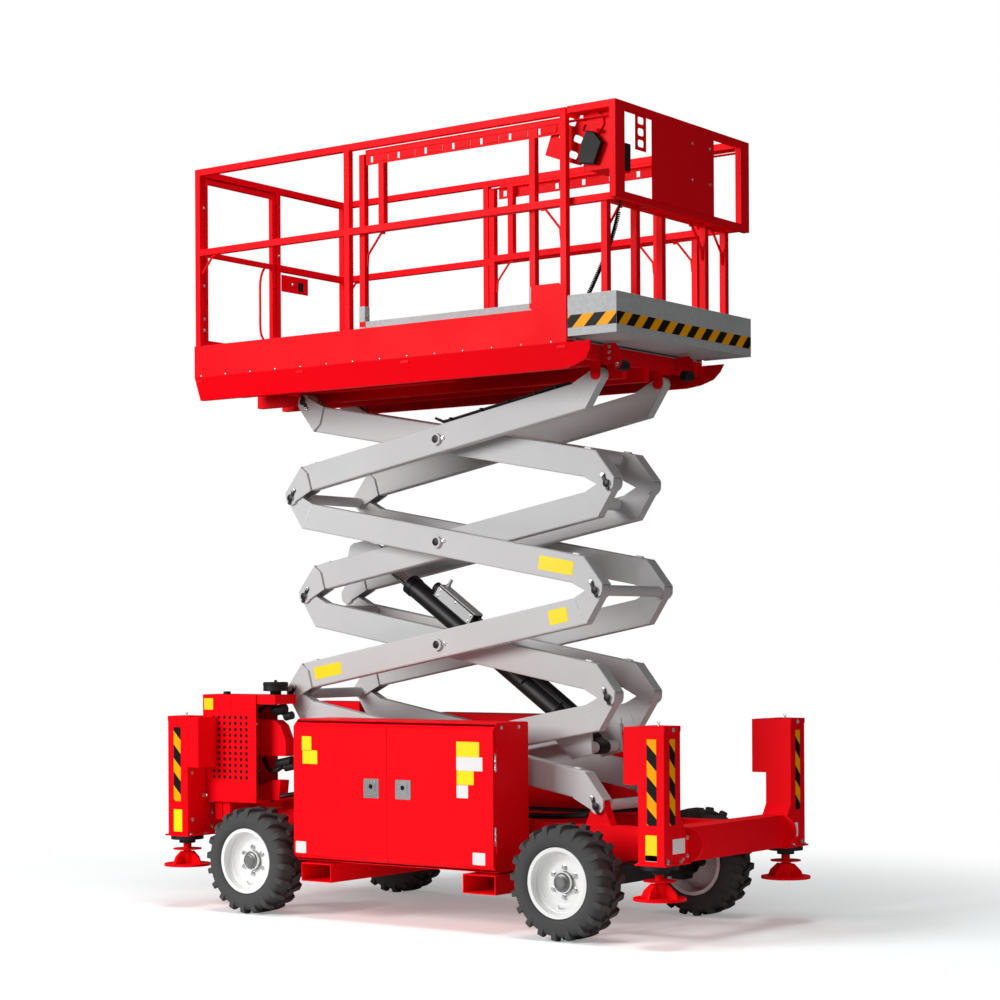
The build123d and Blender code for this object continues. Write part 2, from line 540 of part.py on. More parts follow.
for side_name, side in (("right", -1), ("left", 1)):
    y_out, y_in = side * CAB_OUTER_Y, side * CAB_INNER_Y
    with BuildPart() as cabinet:
        with BuildSketch(Plane.YZ.offset(CAB_X0)):
            with BuildLine():
                Polyline((y_in, CAB_Z0), (y_out - side * CAB_CHAMFER, CAB_Z0), (y_out, CAB_Z0 + CAB_CHAMFER),
                         (y_out, CAB_Z1 - CAB_CHAMFER), (y_out - side * CAB_CHAMFER, CAB_Z1), (y_in, CAB_Z1), close=True)
            make_face()
        extrude(amount=CAB_X1 - CAB_X0)
        block(CAB_X0 + CAB_WALL, CAB_X1 - CAB_WALL, y_in + side * CAB_WALL, y_out + side,
              CAB_Z0 + CAB_WALL, CAB_Z1 - CAB_WALL, CUT)
        # the doors' place
        block(CAB_X0 - 1, CAB_X1 + 1, y_out - side * DOOR_DEPTH, y_out + side, CAB_Z0 - 1, CAB_Z1 + 1, CUT)
        block(CAB_X0 + CAB_WALL, CAB_X1 - CAB_WALL, y_out - side * (DOOR_DEPTH + 30), y_out - side * (DOOR_DEPTH - 1),
              CAB_Z0 + CAB_CHAMFER, CAB_Z1 - CAB_CHAMFER, CUT)
        hinge_y = y_out - side * DOOR_DEPTH
        for x, out in ((CAB_X0, -1), (CAB_X1, 1)):
            for z in HINGE_Z:
                block(min(x, x + out * 4), max(x, x + out * 4), hinge_y, hinge_y - side * 26, z - HINGE_LENGTH, z)
                rod_z(x + out * HINGE_RADIUS, hinge_y, HINGE_RADIUS, z - HINGE_LENGTH, z)
                rod_z(x + out * HINGE_RADIUS, hinge_y, HINGE_PIN, z, z + HINGE_LENGTH)
    save(cabinet.part, f"cabinet_{side_name}")
    for door_name, x0, x1, out in (("rear", CAB_X0, DOOR_SPLIT_X - DOOR_GAP / 2, -1),
                                   ("front", DOOR_SPLIT_X + DOOR_GAP / 2, CAB_X1, 1)):
        with BuildPart() as door:
            depth = DOOR_DEPTH - DOOR_GAP
            with BuildSketch(Plane.YZ.offset(x0)):
                with BuildLine():
                    Polyline((y_out - side * depth, CAB_Z0 + 14), (y_out, CAB_Z0 + CAB_CHAMFER), (y_out, CAB_Z1 - CAB_CHAMFER),
                             (y_out - side * depth, CAB_Z1 - 14), close=True)
                make_face()
            extrude(amount=x1 - x0)
            block(x0 + 3, x1 - 3, y_out - side * 3, y_out - side * (depth + 1), CAB_Z0 + CAB_CHAMFER + 3,
                  CAB_Z1 - CAB_CHAMFER - 3, CUT)
            edge = x0 if out < 0 else x1
            axis_x = edge + out * HINGE_RADIUS
            for z in HINGE_Z:
                z0 = z + RUN_GAP
                rod_z(axis_x, hinge_y, HINGE_RADIUS, z0, z0 + HINGE_LENGTH)
                block(min(edge, edge + out * 4), max(edge, edge + out * 4), hinge_y, y_out - side * 4, z0, z0 + HINGE_LENGTH)
                rod_z(axis_x, hinge_y, HINGE_PIN + RUN_GAP, z, z0 + HINGE_LENGTH + 1, CUT)
        save(door.part, f"door_{side_name}_{door_name}")

# engine bay at the right rear, oil tank at the left rear
BAR_X1 = -950.0
BAR_DEPTH = 50.0
COVER_DEPTH = 70.0
UPPER_COVER = ((BAY_X1 - 110, 820.0), (-962.0, 820.0), (-962.0, 905.0), (-1000.0, 985.0),
               (-1040.0, 1012.0), (BAY_X1 - 110, 1015.0))
LOWER_COVER = ((BAY_X1 - 120, 582.0), (-1012.0, 582.0), (-1000.0, 690.0), (-1060.0, 690.0),
               (-1130.0, 660.0), (BAY_X1 - 120, 645.0))
with BuildPart() as bay:
    block(BAY_X0, BAY_X1, -BAY_OUTER_Y, -BAY_INNER_Y, BAY_Z0, BAY_Z1)
    block(BAY_X0 + BAY_WALL, BAY_X1 + 1, -BAY_OUTER_Y + BAY_WALL, -BAY_INNER_Y - BAY_WALL,
          BAY_Z0 + BAY_WALL, BAY_Z1 - BAY_WALL, CUT)
    # roof bar over the engine's open end, and the two covers inside it
    block(BAY_X1 - 1, BAR_X1, -BAY_OUTER_Y + 8, -BAY_INNER_Y, BAY_Z1 - BAR_DEPTH, BAY_Z1)
    for outline in (UPPER_COVER, LOWER_COVER):
        with BuildSketch(Plane.XZ.offset(BAY_INNER_Y + COVER_DEPTH / 2)) as cover_view:
            with BuildLine():
                Polyline(*outline, close=True)
            make_face()
        extrude(cover_view.sketch, amount=COVER_DEPTH / 2, both=True)
    block(BAY_X0 - 1, 2 - POST_INNER_X, -BAY_OUTER_Y - 1, 2 - FLARE_Y, BAY_Z0 - 1, FLARE_Z[1] + 2, CUT)
save(bay.part, "engine_bay")

with BuildPart() as engine:
    block(BAY_X0 + 60, BAY_X1 - 140, -BAY_OUTER_Y + 20, -BAY_INNER_Y - 20, BAY_Z0 + BAY_WALL, BAY_Z1 - 180)
save(engine.part, "engine_block")

CLEANER_X, CLEANER_Y = -1018.0, -430.0
with BuildPart() as cleaner:
    rod_z(CLEANER_X, CLEANER_Y, 30, BAY_Z1, BAY_Z1 + 24)
    rod_z(CLEANER_X, CLEANER_Y, 66, BAY_Z1 + 20, BAY_Z1 + 68)
save(cleaner.part, "air_cleaner")

with BuildPart() as tank:
    block(BAY_X0, BAY_X1, BAY_INNER_Y, BAY_OUTER_Y, BAY_Z0, BAY_Z1 - 60)
    block(BAY_X0 - 1, 2 - POST_INNER_X, FLARE_Y - 2, BAY_OUTER_Y + 1, BAY_Z0 - 1, FLARE_Z[1] + 2, CUT)
save(tank.part, "oil_tank")

# ---------------------------------------------------------------------- running gear
YOKE_Y = KINGPIN_Y
with BuildPart() as front_axle:
    block(HALF_BASE - 45, HALF_BASE + 45, -YOKE_Y + 42, YOKE_Y - 42, AXLE_Z - 45, AXLE_Z + 45)
    for side in SIDES:
        block(HALF_BASE - 60, HALF_BASE + 60, side * (RAIL_Y - 30), side * (RAIL_Y + 30), AXLE_Z + 45, RAIL_BOTTOM)
        for z in (AXLE_Z - 75, AXLE_Z + 55):
            block(HALF_BASE - 35, HALF_BASE + 35, side * (YOKE_Y - 42), side * (YOKE_Y + 30), z, z + 20)
        block(HALF_BASE - 35, HALF_BASE + 35, side * (YOKE_Y - 62), side * (YOKE_Y - 42), AXLE_Z - 75, AXLE_Z + 75)
        rod_z(HALF_BASE, side * YOKE_Y, 14, AXLE_Z - 80, AXLE_Z + 80)
save(front_axle.part, "front_axle")

HUB_FACE = WHEEL_Y + 20
BEAD_RADIUS = RIM_RADIUS - 12
BEAD_GAP = 0.3
TYRE_SIDES = 24
LUG_COUNT = 20                 # on each side of the tread
LUG_DEPTH = 18.0
LUG_ROOT = 50.0
# a lug seen on the tread: round the tyre, and out from its middle
LUG_OUTLINE = ((-36.0, -4.0), (-2.0, -4.0), (26.0, 34.0), (37.0, TYRE_WIDTH / 2 - 5),
               (5.0, TYRE_WIDTH / 2 - 5), (-8.0, 44.0))
LUG_REACH = max(abs(over) for over, _ in LUG_OUTLINE)
with BuildPart() as rear_axle:
    block(-HALF_BASE - 45, -HALF_BASE + 45, -YOKE_Y, YOKE_Y, AXLE_Z - 45, AXLE_Z + 45)
    for side in SIDES:
        block(-HALF_BASE - 60, -HALF_BASE + 60, side * (RAIL_Y - 30), side * (RAIL_Y + 30), AXLE_Z + 45, RAIL_BOTTOM)
        rod_y(-HALF_BASE, AXLE_Z, 70, side * YOKE_Y, side * (YOKE_Y + 60))
        rod_y(-HALF_BASE, AXLE_Z, 28, side * (YOKE_Y + 60), side * HUB_FACE)
save(rear_axle.part, "rear_axle")

for side_name, side in (("right", -1), ("left", 1)):
    with BuildPart() as knuckle:
        block(HALF_BASE - 32, HALF_BASE + 32, side * (YOKE_Y - 26), side * (YOKE_Y + 44), AXLE_Z - 54, AXLE_Z + 54)
        rod_z(HALF_BASE, side * YOKE_Y, 14 + PIN_FIT, AXLE_Z - 60, AXLE_Z + 60, CUT)
        rod_y(HALF_BASE, AXLE_Z, 60, side * (YOKE_Y + 44), side * (YOKE_Y + 60))
        rod_y(HALF_BASE, AXLE_Z, 28, side * (YOKE_Y + 60), side * HUB_FACE)
    save(knuckle.part, f"knuckle_{side_name}")

for end_name, x in (("rear", -HALF_BASE), ("front", HALF_BASE)):
    for side_name, side in (("right", -1), ("left", 1)):
        axis = Axis((x, 0, AXLE_Z), (0, 1, 0))
        mid = side * WHEEL_Y
        half = TYRE_WIDTH / 2
        outer_r = TYRE_OD / 2
        bead = half - 22
        flange = half - 15
        seat = BEAD_RADIUS - BEAD_GAP
        well = seat - 6
        dish = HUB_FACE - WHEEL_Y
        wall_r = RIM_RADIUS + 42
        lug_top = sqrt(outer_r ** 2 - LUG_REACH ** 2)
        plane = Plane(origin=(x, mid, AXLE_Z), x_dir=(0, side, 0), z_dir=(side, 0, 0))
        across = Plane(origin=(x, mid, AXLE_Z), x_dir=(1, 0, 0), z_dir=(0, side, 0))
        with BuildPart() as tyre:
            for depth, radius in ((-half + 2, wall_r), (-half + 6, outer_r - 45), (-half + 24, outer_r - LUG_DEPTH),
                                  (half - 24, outer_r - LUG_DEPTH), (half - 6, outer_r - 45), (half - 2, wall_r)):
                with BuildSketch(across.offset(depth)):
                    RegularPolygon(radius, TYRE_SIDES)
            loft(ruled=True)
            for face in (-1, 1):
                with BuildSketch(across.offset(face * (half - 2))) as wide:
                    RegularPolygon(wall_r, TYRE_SIDES)
                with BuildSketch(across.offset(face * bead)) as narrow:
                    RegularPolygon(RIM_RADIUS + 2, TYRE_SIDES)
                loft([wide.sketch, narrow.sketch], ruled=True, mode=CUT)
            with BuildSketch(across) as seat_view:
                RegularPolygon(BEAD_RADIUS, TYRE_SIDES, major_radius=False)
            extrude(seat_view.sketch, amount=half, both=True, mode=CUT)
            for face in (-1, 1):
                feet = []
                for k in range(LUG_COUNT):
                    # the first lug's corner stands on the ground
                    turn = -pi / 2 - atan2(LUG_REACH, lug_top) + 2 * pi / LUG_COUNT * (k + (1 - face) / 4)
                    foot = (x + lug_top * cos(turn), mid, AXLE_Z + lug_top * sin(turn))
                    feet.append(Plane(origin=foot, x_dir=(0, face * side, 0), z_dir=(cos(turn), 0, sin(turn))))
                with BuildSketch(*feet) as treads:
                    with BuildLine():
                        Polyline(*[(along, face * side * over) for over, along in LUG_OUTLINE], close=True)
                    make_face()
                extrude(treads.sketch, amount=-LUG_ROOT)
        save(tyre.part, f"tyre_{end_name}_{side_name}")
        with BuildPart() as rim:
            with BuildSketch(plane):
                with BuildLine():
                    Polyline((-flange, RIM_RADIUS), (-bead - BEAD_GAP, RIM_RADIUS), (-bead - BEAD_GAP, seat), (bead + BEAD_GAP, seat),
                             (bead + BEAD_GAP, RIM_RADIUS), (flange, RIM_RADIUS), (flange, well), (dish + 26, well),
                             (dish + 2, 112), (dish + 2, 28.5), (dish - 8, 28.5), (dish - 8, 116),
                             (dish + 12, well), (-flange, well), close=True)
                make_face()
            revolve(axis=axis)
            rod_y(x, AXLE_Z, 52, side * (HUB_FACE - 4), side * (HUB_FACE + 24))
            rod_y(x, AXLE_Z, 30, side * (HUB_FACE + 20), side * (HUB_FACE + 40))
            rod_y(x, AXLE_Z, 28.5, side * (HUB_FACE - 20), side * (HUB_FACE + 1), CUT)
        save(rim.part, f"rim_{end_name}_{side_name}")

# ------------------------------------------------------------------------- platform
ROOF_Z = TOP_Z + EYE + 8
BEAM_Y0, BEAM_Y1 = 80.0, 125.0      # long beams between the inner arms
BRACKET_WALL = 6.0
BRACKET_EYE = 28.0
ROLLER_ROOF = TOP_Z + ROLLER_RADIUS + ROLLER_GAP
SKIRT_X1 = 1155.0
FRONT_BEAM = 45.0
with BuildPart() as frame:
    for side in SIDES:
        with BuildSketch(Plane.YZ.offset(DECK_X0)) as skirt:
            with BuildLine():
                Polyline((side * DECK_HALF, TOE_TOP), (side * DECK_HALF, SKIRT_FOLD_Z),
                         (side * (DECK_HALF - SKIRT_LEAN), SKIRT_BOTTOM), (side * (DECK_HALF - SKIRT_LEAN - 30), SKIRT_BOTTOM),
                         (side * (DECK_HALF - SKIRT_LEAN - 30), SKIRT_BOTTOM + SHEET),
                         (side * (DECK_HALF - SKIRT_LEAN - SHEET), SKIRT_BOTTOM + SHEET),
                         (side * (DECK_HALF - SHEET), SKIRT_FOLD_Z + 2), (side * (DECK_HALF - SHEET), TOE_TOP), close=True)
            make_face()
        extrude(skirt.sketch, amount=SKIRT_X1 - DECK_X0)
        # the skirt runs past the deck's end and is rounded off below
        y0, y1 = side * (DECK_HALF - SKIRT_LEAN - 31), side * (DECK_HALF + 1)
        block(DECK_X1, SKIRT_X1 + 1, y0, y1, SKIRT_FOLD_Z - 2, TOE_TOP + 1, CUT)
        with BuildSketch(Plane.XZ.offset(-(y0 + y1) / 2)) as corner:
            with BuildLine():
                Polyline((DECK_X1 - 70, SKIRT_BOTTOM - 1), (DECK_X1 + 20, SKIRT_BOTTOM + 12), (SKIRT_X1 - 45, SKIRT_BOTTOM + 38),
                         (SKIRT_X1 - 12, SKIRT_BOTTOM + 78), (SKIRT_X1 + 1, SKIRT_FOLD_Z), (SKIRT_X1 + 1, SKIRT_BOTTOM - 1), close=True)
            make_face()
        extrude(corner.sketch, amount=abs(y1 - y0) / 2, both=True, mode=CUT)
        # long beams over the arms
        block(DECK_X0 + SHEET, DECK_X1 - 2 * SHEET, side * BEAM_Y0, side * BEAM_Y1, TOP_Z - 5, FLOOR_Z - SHEET)
        # track over the upper rollers
        block(TRACK_X0, TRACK_X1, side * (BEAM_Y1 - SHEET), side * (INNER_Y + FORK_OUT + SHEET),
              ROLLER_ROOF, ROLLER_ROOF + TRACK_PLATE)
        # beam and bracket over the ends of the top outer arms
        block(DECK_X0 + SHEET, DECK_X1 - 2 * SHEET, side * (OUTER_Y - FORK_OUT), side * (OUTER_Y + FORK_OUT), ROOF_Z, FLOOR_Z - SHEET)
        for y in (OUTER_Y - ARM_WIDTH / 2 - BRACKET_WALL, OUTER_Y + ARM_WIDTH / 2):
            block(PIVOT_X - BRACKET_EYE, DECK_X1 - 2 * SHEET, side * y, side * (y + BRACKET_WALL), TOP_Z, ROOF_Z)
            rod_y(PIVOT_X, TOP_Z, BRACKET_EYE, side * y, side * (y + BRACKET_WALL))
        rod_y(PIVOT_X, TOP_Z, PIN_RADIUS, side * (OUTER_Y - ARM_WIDTH / 2 - 10), side * (OUTER_Y + ARM_WIDTH / 2 + 10))
    block(DECK_X0, DECK_X0 + SHEET, -DECK_HALF + SHEET, DECK_HALF - SHEET, SKIRT_FOLD_Z, TOE_TOP)
    # beam across the front
    block(DECK_X1 - FRONT_BEAM, DECK_X1, -DECK_HALF + SKIRT_LEAN, DECK_HALF - SKIRT_LEAN, FLOOR_Z - 80, FLOOR_Z - SHEET)
    for x in (DECK_X0 + SHEET, -700.0, 0.0, DECK_X1 - 60):
        block(x, x + 50, -DECK_HALF + SHEET, DECK_HALF - SHEET, FLOOR_Z - 45, FLOOR_Z - SHEET)
save(frame.part, "platform_frame")

with BuildPart() as floor:
    block(DECK_X0 + SHEET, DECK_X1, -DECK_HALF + SHEET, DECK_HALF - SHEET, FLOOR_Z - SHEET, FLOOR_Z)
save(floor.part, "platform_floor")

POST_Y = DECK_HALF - SHEET - RAIL_TUBE / 2
GATE_POST_Y = 20.0
GATE_HINGE_Y = -(POST_Y - RAIL_TUBE / 2 - 22)
GATE_TOP = RAIL_TOP_Z - RAIL_TUBE - 8
GATE_BOTTOM = TOE_TOP + 10
with BuildPart() as rails:
    half = RAIL_TUBE / 2
    for side in SIDES:
        y0, y1 = side * (POST_Y - half), side * (POST_Y + half)
        for x in (DECK_X0 + SHEET + half, -350.0, DECK_X1 - 20):
            block(x - half, x + half, y0, y1, FLOOR_Z, RAIL_TOP_Z)
        for z in (RAIL_TOP_Z, MID_RAIL_Z + half):
            block(DECK_X0 + SHEET, DECK_X1 - 3, y0, y1, z - RAIL_TUBE, z)
    x0, x1 = DECK_X0 + SHEET, DECK_X0 + SHEET + RAIL_TUBE
    block(x0, x1, -POST_Y + half, POST_Y - half, RAIL_TOP_Z - RAIL_TUBE, RAIL_TOP_Z)
    block(x0, x1, GATE_POST_Y - half, GATE_POST_Y + half, FLOOR_Z, RAIL_TOP_Z - RAIL_TUBE)
    block(x0, x1, GATE_POST_Y + half, POST_Y - half, MID_RAIL_Z - half, MID_RAIL_Z + half)
    # ears and pins that carry the gate
    for low, high, pin_low, pin_high in (
            (GATE_BOTTOM - 9, GATE_BOTTOM - RUN_GAP, GATE_BOTTOM - 9, GATE_BOTTOM + 14),
            (GATE_TOP + RUN_GAP, RAIL_TOP_Z - RAIL_TUBE, GATE_TOP - 14, RAIL_TOP_Z - RAIL_TUBE)):
        block(x0 + 4, x1 - 4, -POST_Y + half, GATE_HINGE_Y + 10, low, high)
        rod_z((x0 + x1) / 2, GATE_HINGE_Y, HINGE_RADIUS, pin_low, pin_high)
save(rails.part, "main_rails")

with BuildPart() as gate:
    x0, x1 = DECK_X0 + SHEET + 4, DECK_X0 + SHEET + RAIL_TUBE - 4
    top, bottom = GATE_TOP, GATE_BOTTOM
    block(x0, x1, GATE_HINGE_Y - 13, GATE_HINGE_Y + 13, bottom, top)
    block(x0, x1, GATE_POST_Y - half - 32, GATE_POST_Y - half - 6, bottom, top)
    for z in (bottom, MID_RAIL_Z - 13, top - 26):
        block(x0, x1, GATE_HINGE_Y, GATE_POST_Y - half - 10, z, z + 26)
    for z in (bottom, top):
        rod_z((x0 + x1) / 2, GATE_HINGE_Y, HINGE_RADIUS + RUN_GAP, z - 15, z + 15, CUT)
save(gate.part, "gate")

EXT_FLOOR_Z = FLOOR_Z + EXT_FLOOR_GAP
with BuildPart() as ext:
    block(EXT_X0, EXT_X1, -EXT_TUBE_Y - 20, EXT_TUBE_Y + 20, EXT_FLOOR_Z, EXT_FLOOR_Z + EXT_FLOOR_THICK)
    for side in SIDES:
        block(EXT_X0, DECK_X1, side * (EXT_TUBE_Y - 20), side * (EXT_TUBE_Y + 10), FLOOR_Z + RUN_GAP, EXT_FLOOR_Z)
    front0 = DECK_X1 + 12
    with BuildSketch(Plane.XY.offset(EXT_BOTTOM)):
        Polygon((front0, -EXT_HALF), (EXT_X1, -EXT_HALF), (EXT_X1, EXT_HALF), (front0, EXT_HALF), align=None)
        Polygon((front0 - 1, -EXT_HALF + 4), (EXT_X1 - 4, -EXT_HALF + 4), (EXT_X1 - 4, EXT_HALF - 4),
                (front0 - 1, EXT_HALF - 4), align=None, mode=CUT)
    extrude(amount=EXT_TOE_TOP - EXT_BOTTOM)
    block(front0, EXT_X1 - 2, -EXT_HALF + 2, EXT_HALF - 2, EXT_FLOOR_Z, EXT_FLOOR_Z + EXT_FLOOR_THICK)
save(ext.part, "extension_deck")

LOWER_POSTS = (-548.0, -290.0, -58.0, 350.0, 548.0)
COMB_X0, COMB_X1 = -250.0, 970.0
COMB_DROP = 115.0
COMB_SLOTS = 7
COMB_PITCH = (COMB_X1 - COMB_X0) / COMB_SLOTS
HANGER_X = 147.0
with BuildPart() as ext_rails:
    half = RAIL_TUBE / 2
    floor_z = EXT_FLOOR_Z + EXT_FLOOR_THICK
    for side in SIDES:
        y0, y1 = side * (EXT_TUBE_Y - half), side * (EXT_TUBE_Y + half)
        for x in (EXT_X0 + 20, 790.0):
            block(x - half, x + half, y0, y1, floor_z, RAIL_TOP_Z - 60)
        block(EXT_X0 + 3, EXT_X1 - 4, y0, y1, RAIL_TOP_Z - 60, RAIL_TOP_Z - 60 + 4)
        # front corner posts and top rails in front of the main deck
        block(DECK_X1 + 12, EXT_X1 - 4, y0, side * (EXT_HALF - 4), RAIL_TOP_Z - RAIL_TUBE, RAIL_TOP_Z)
        block(EXT_X0 + 3, EXT_X1 - 4, y0, y1, LOWER_FRAME_Z - half, LOWER_FRAME_Z + half)
        block(EXT_X1 - 4 - RAIL_TUBE, EXT_X1 - 4, y0, side * (EXT_HALF - 4), LOWER_FRAME_Z - half, RAIL_TOP_Z)
        # comb plate under the top rail, and a tube hanging from it
        comb = side * (EXT_TUBE_Y + half)
        block(COMB_X0, COMB_X1, comb - side * 4, comb, RAIL_TOP_Z - COMB_DROP, RAIL_TOP_Z - 58)
        for k in range(COMB_SLOTS):
            slot = COMB_X0 + COMB_PITCH * (k + 0.5)
            block(slot - COMB_PITCH / 3, slot + COMB_PITCH / 3, comb - side * 5, comb + side,
                  RAIL_TOP_Z - COMB_DROP + 12, RAIL_TOP_Z - 72, CUT)
        block(EXT_X0 + HANGER_X - half, EXT_X0 + HANGER_X + half, y0, y1, LOWER_FRAME_Z, RAIL_TOP_Z - 58)
    for y in LOWER_POSTS:
        block(EXT_POST_X - half, EXT_POST_X + half, y - half, y + half, floor_z, LOWER_FRAME_Z - half)
        block(EXT_POST_X - half, EXT_X1 - 4, y - half, y + half, LOWER_FRAME_Z - half, LOWER_FRAME_Z + half)
    block(EXT_X1 - 4 - RAIL_TUBE, EXT_X1 - 4, -EXT_TUBE_Y, EXT_TUBE_Y, RAIL_TOP_Z - RAIL_TUBE, RAIL_TOP_Z)
    block(EXT_X1 - 4 - RAIL_TUBE, EXT_X1 - 4, -EXT_TUBE_Y, EXT_TUBE_Y, LOWER_FRAME_Z - half, LOWER_FRAME_Z + half)
    block(EXT_POST_X - half, EXT_POST_X + half, -EXT_TUBE_Y, EXT_TUBE_Y, LOWER_FRAME_Z - half, LOWER_FRAME_Z + half)
save(ext_rails.part, "extension_rails")

with BuildPart() as panel:
    block(EXT_X1 - 3.5, EXT_X1, -308, 268, LOWER_FRAME_Z + 14, RAIL_TOP_Z - 4)
save(panel.part, "front_panel")

BOX_X, BOX_Y, BOX_Z = EXT_X1 - 120, -EXT_TUBE_Y + 60, RAIL_TOP_Z - 245
with BuildPart() as holder:
    block(BOX_X - 120, BOX_X + 80, BOX_Y - 43, BOX_Y - 39, BOX_Z - 60, RAIL_TOP_Z - RAIL_TUBE)
    block(BOX_X - 90, BOX_X + 40, BOX_Y - 39, BOX_Y + 120, BOX_Z - 60, BOX_Z - 55)
save(holder.part, "control_holder")

with BuildPart() as box:
    block(BOX_X - 70, BOX_X + 50, BOX_Y - 35, BOX_Y + 110, BOX_Z - 55, BOX_Z + 75)
save(box.part, "control_box")

cable_points = [
    (BOX_X + 60, BOX_Y + 20, BOX_Z - 56.3),
    (BOX_X + 60, BOX_Y + 10, BOX_Z - 190),
    (BOX_X + 40, BOX_Y - 5, BOX_Z - 330),
    (BOX_X - 10, BOX_Y - 20, BOX_Z - 470),
    (BOX_X - 80, BOX_Y - 25, BOX_Z - 600),
    (BOX_X - 140, BOX_Y - 25, BOX_Z - 700),
    (BOX_X - 200, BOX_Y - 25, floor_z + 20),
]
cable_vectors = [Vector(*p) for p in cable_points]
cable_radii = []
for before, here, after in zip(cable_vectors, cable_vectors[1:], cable_vectors[2:]):
    turn = radians((here - before).get_angle(after - here))
    cable_radii.append(0.45 * min((here - before).length, (after - here).length) / tan(turn / 2))
print("cable radii", [round(r) for r in cable_radii])
with BuildPart() as cable:
    with BuildLine() as route:
        FilletPolyline(*cable_points, radius=cable_radii)
    start = cable_vectors[0]
    with BuildSketch(Plane(origin=start, z_dir=cable_vectors[1] - start)):
        Circle(11)
    sweep(path=route.wires()[0])
save(cable.part, "control_cable")
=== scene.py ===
"""Looks of a rough-terrain scissor lift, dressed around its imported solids.

Every piece is in metres, in the frame of the solids: +X to the front, +Y to the machine's left, +Z up.
Each sub-assembly is a class that makes its own surfaces with numpy and gives them their finishes.
"""

from __future__ import annotations

import json
import logging
import math
from dataclasses import dataclass, field
from enum import Enum
from itertools import product

import bpy
import numpy as np
from mathutils import Matrix, Vector

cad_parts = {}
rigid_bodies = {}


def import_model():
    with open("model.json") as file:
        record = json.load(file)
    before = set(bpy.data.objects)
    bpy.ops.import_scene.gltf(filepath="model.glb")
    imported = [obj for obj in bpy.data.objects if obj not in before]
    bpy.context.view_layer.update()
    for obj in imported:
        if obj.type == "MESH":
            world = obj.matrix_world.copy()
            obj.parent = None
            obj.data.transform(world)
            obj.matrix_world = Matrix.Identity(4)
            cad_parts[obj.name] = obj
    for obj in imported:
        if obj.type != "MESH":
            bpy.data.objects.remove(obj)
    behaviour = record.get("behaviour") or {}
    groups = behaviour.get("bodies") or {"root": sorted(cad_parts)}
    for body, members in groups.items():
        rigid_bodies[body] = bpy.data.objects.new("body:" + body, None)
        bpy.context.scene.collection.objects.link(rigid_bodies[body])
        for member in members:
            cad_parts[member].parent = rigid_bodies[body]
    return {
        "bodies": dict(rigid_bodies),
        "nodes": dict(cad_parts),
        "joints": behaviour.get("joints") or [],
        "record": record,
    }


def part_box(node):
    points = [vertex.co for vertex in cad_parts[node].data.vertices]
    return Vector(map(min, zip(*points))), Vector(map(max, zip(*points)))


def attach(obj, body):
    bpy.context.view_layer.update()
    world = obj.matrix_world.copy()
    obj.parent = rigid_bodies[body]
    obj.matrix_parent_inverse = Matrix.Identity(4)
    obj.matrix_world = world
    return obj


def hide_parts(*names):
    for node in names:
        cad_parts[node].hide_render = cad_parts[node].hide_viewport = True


log = logging.getLogger("lift")

MM = 0.001
AHEAD, ACROSS, UP, NEAR = (1, 0, 0), (0, 1, 0), (0, 0, 1), (0, -1, 0)
SIDES = (-1, 1)
Point = tuple[float, float, float]
Outline = list[tuple[float, float]]
Faces = list[tuple[int, ...]]
Surface = tuple[np.ndarray, Faces]


# ------------------------------------------------------------------------------ colours and nodes
def linear(hex_colour: str) -> tuple[float, float, float, float]:
    """Turns an sRGB hex colour into linear RGBA.

    Args:
        hex_colour: Six hex digits, such as "e20f1a".

    Returns:
        Linear red, green, blue and an alpha of 1.
    """
    channels = [int(hex_colour[i : i + 2], 16) / 255 for i in (0, 2, 4)]
    red, green, blue = (c / 12.92 if c <= 0.04045 else ((c + 0.055) / 1.055) ** 2.4 for c in channels)
    return red, green, blue, 1.0


def plug(tree: bpy.types.NodeTree, node: bpy.types.Node, inputs: dict) -> None:
    """Links or sets inputs of a node.

    Args:
        tree: The material's node tree.
        node: The node.
        inputs: Input name or number to an output socket, or to a plain value.
    """
    for name, value in inputs.items():
        if isinstance(value, bpy.types.NodeSocket):
            tree.links.new(value, node.inputs[name])
        else:
            node.inputs[name].default_value = value


def add(tree: bpy.types.NodeTree, kind: str, inputs: dict | None = None,
        **settings: object) -> bpy.types.Node:
    """Adds a node, sets it and links its inputs.

    Args:
        tree: The material's node tree.
        kind: The node's type after "ShaderNode", such as "TexNoise".
        inputs: Input name or number to an output socket, or to a plain value.
        settings: Properties of the node itself, such as operation="MULTIPLY".

    Returns:
        The new node.
    """
    node = tree.nodes.new(f"ShaderNode{kind}")
    for name, value in settings.items():
        setattr(node, name, value)
    plug(tree, node, inputs or {})
    return node


def blended(tree: bpy.types.NodeTree, share: object, first: object, second: object) -> bpy.types.NodeSocket:
    """Mixes two colours.

    Args:
        tree: The material's node tree.
        share: Socket or number, 0 for the first colour and 1 for the second.
        first: Socket or hex colour.
        second: Socket or hex colour.

    Returns:
        The mixed colour's socket.
    """
    first, second = (linear(colour) if isinstance(colour, str) else colour for colour in (first, second))
    return add(tree, "Mix", {0: share, 6: first, 7: second}, data_type="RGBA").outputs[2]


@dataclass(frozen=True)
class Marks:
    """Marks laid over a tone: as the texture goes from low to high, the colour's share goes up to `most`."""

    kind: str
    output: str
    width_mm: float
    detail: float
    low: float
    high: float
    most: float
    colour: str


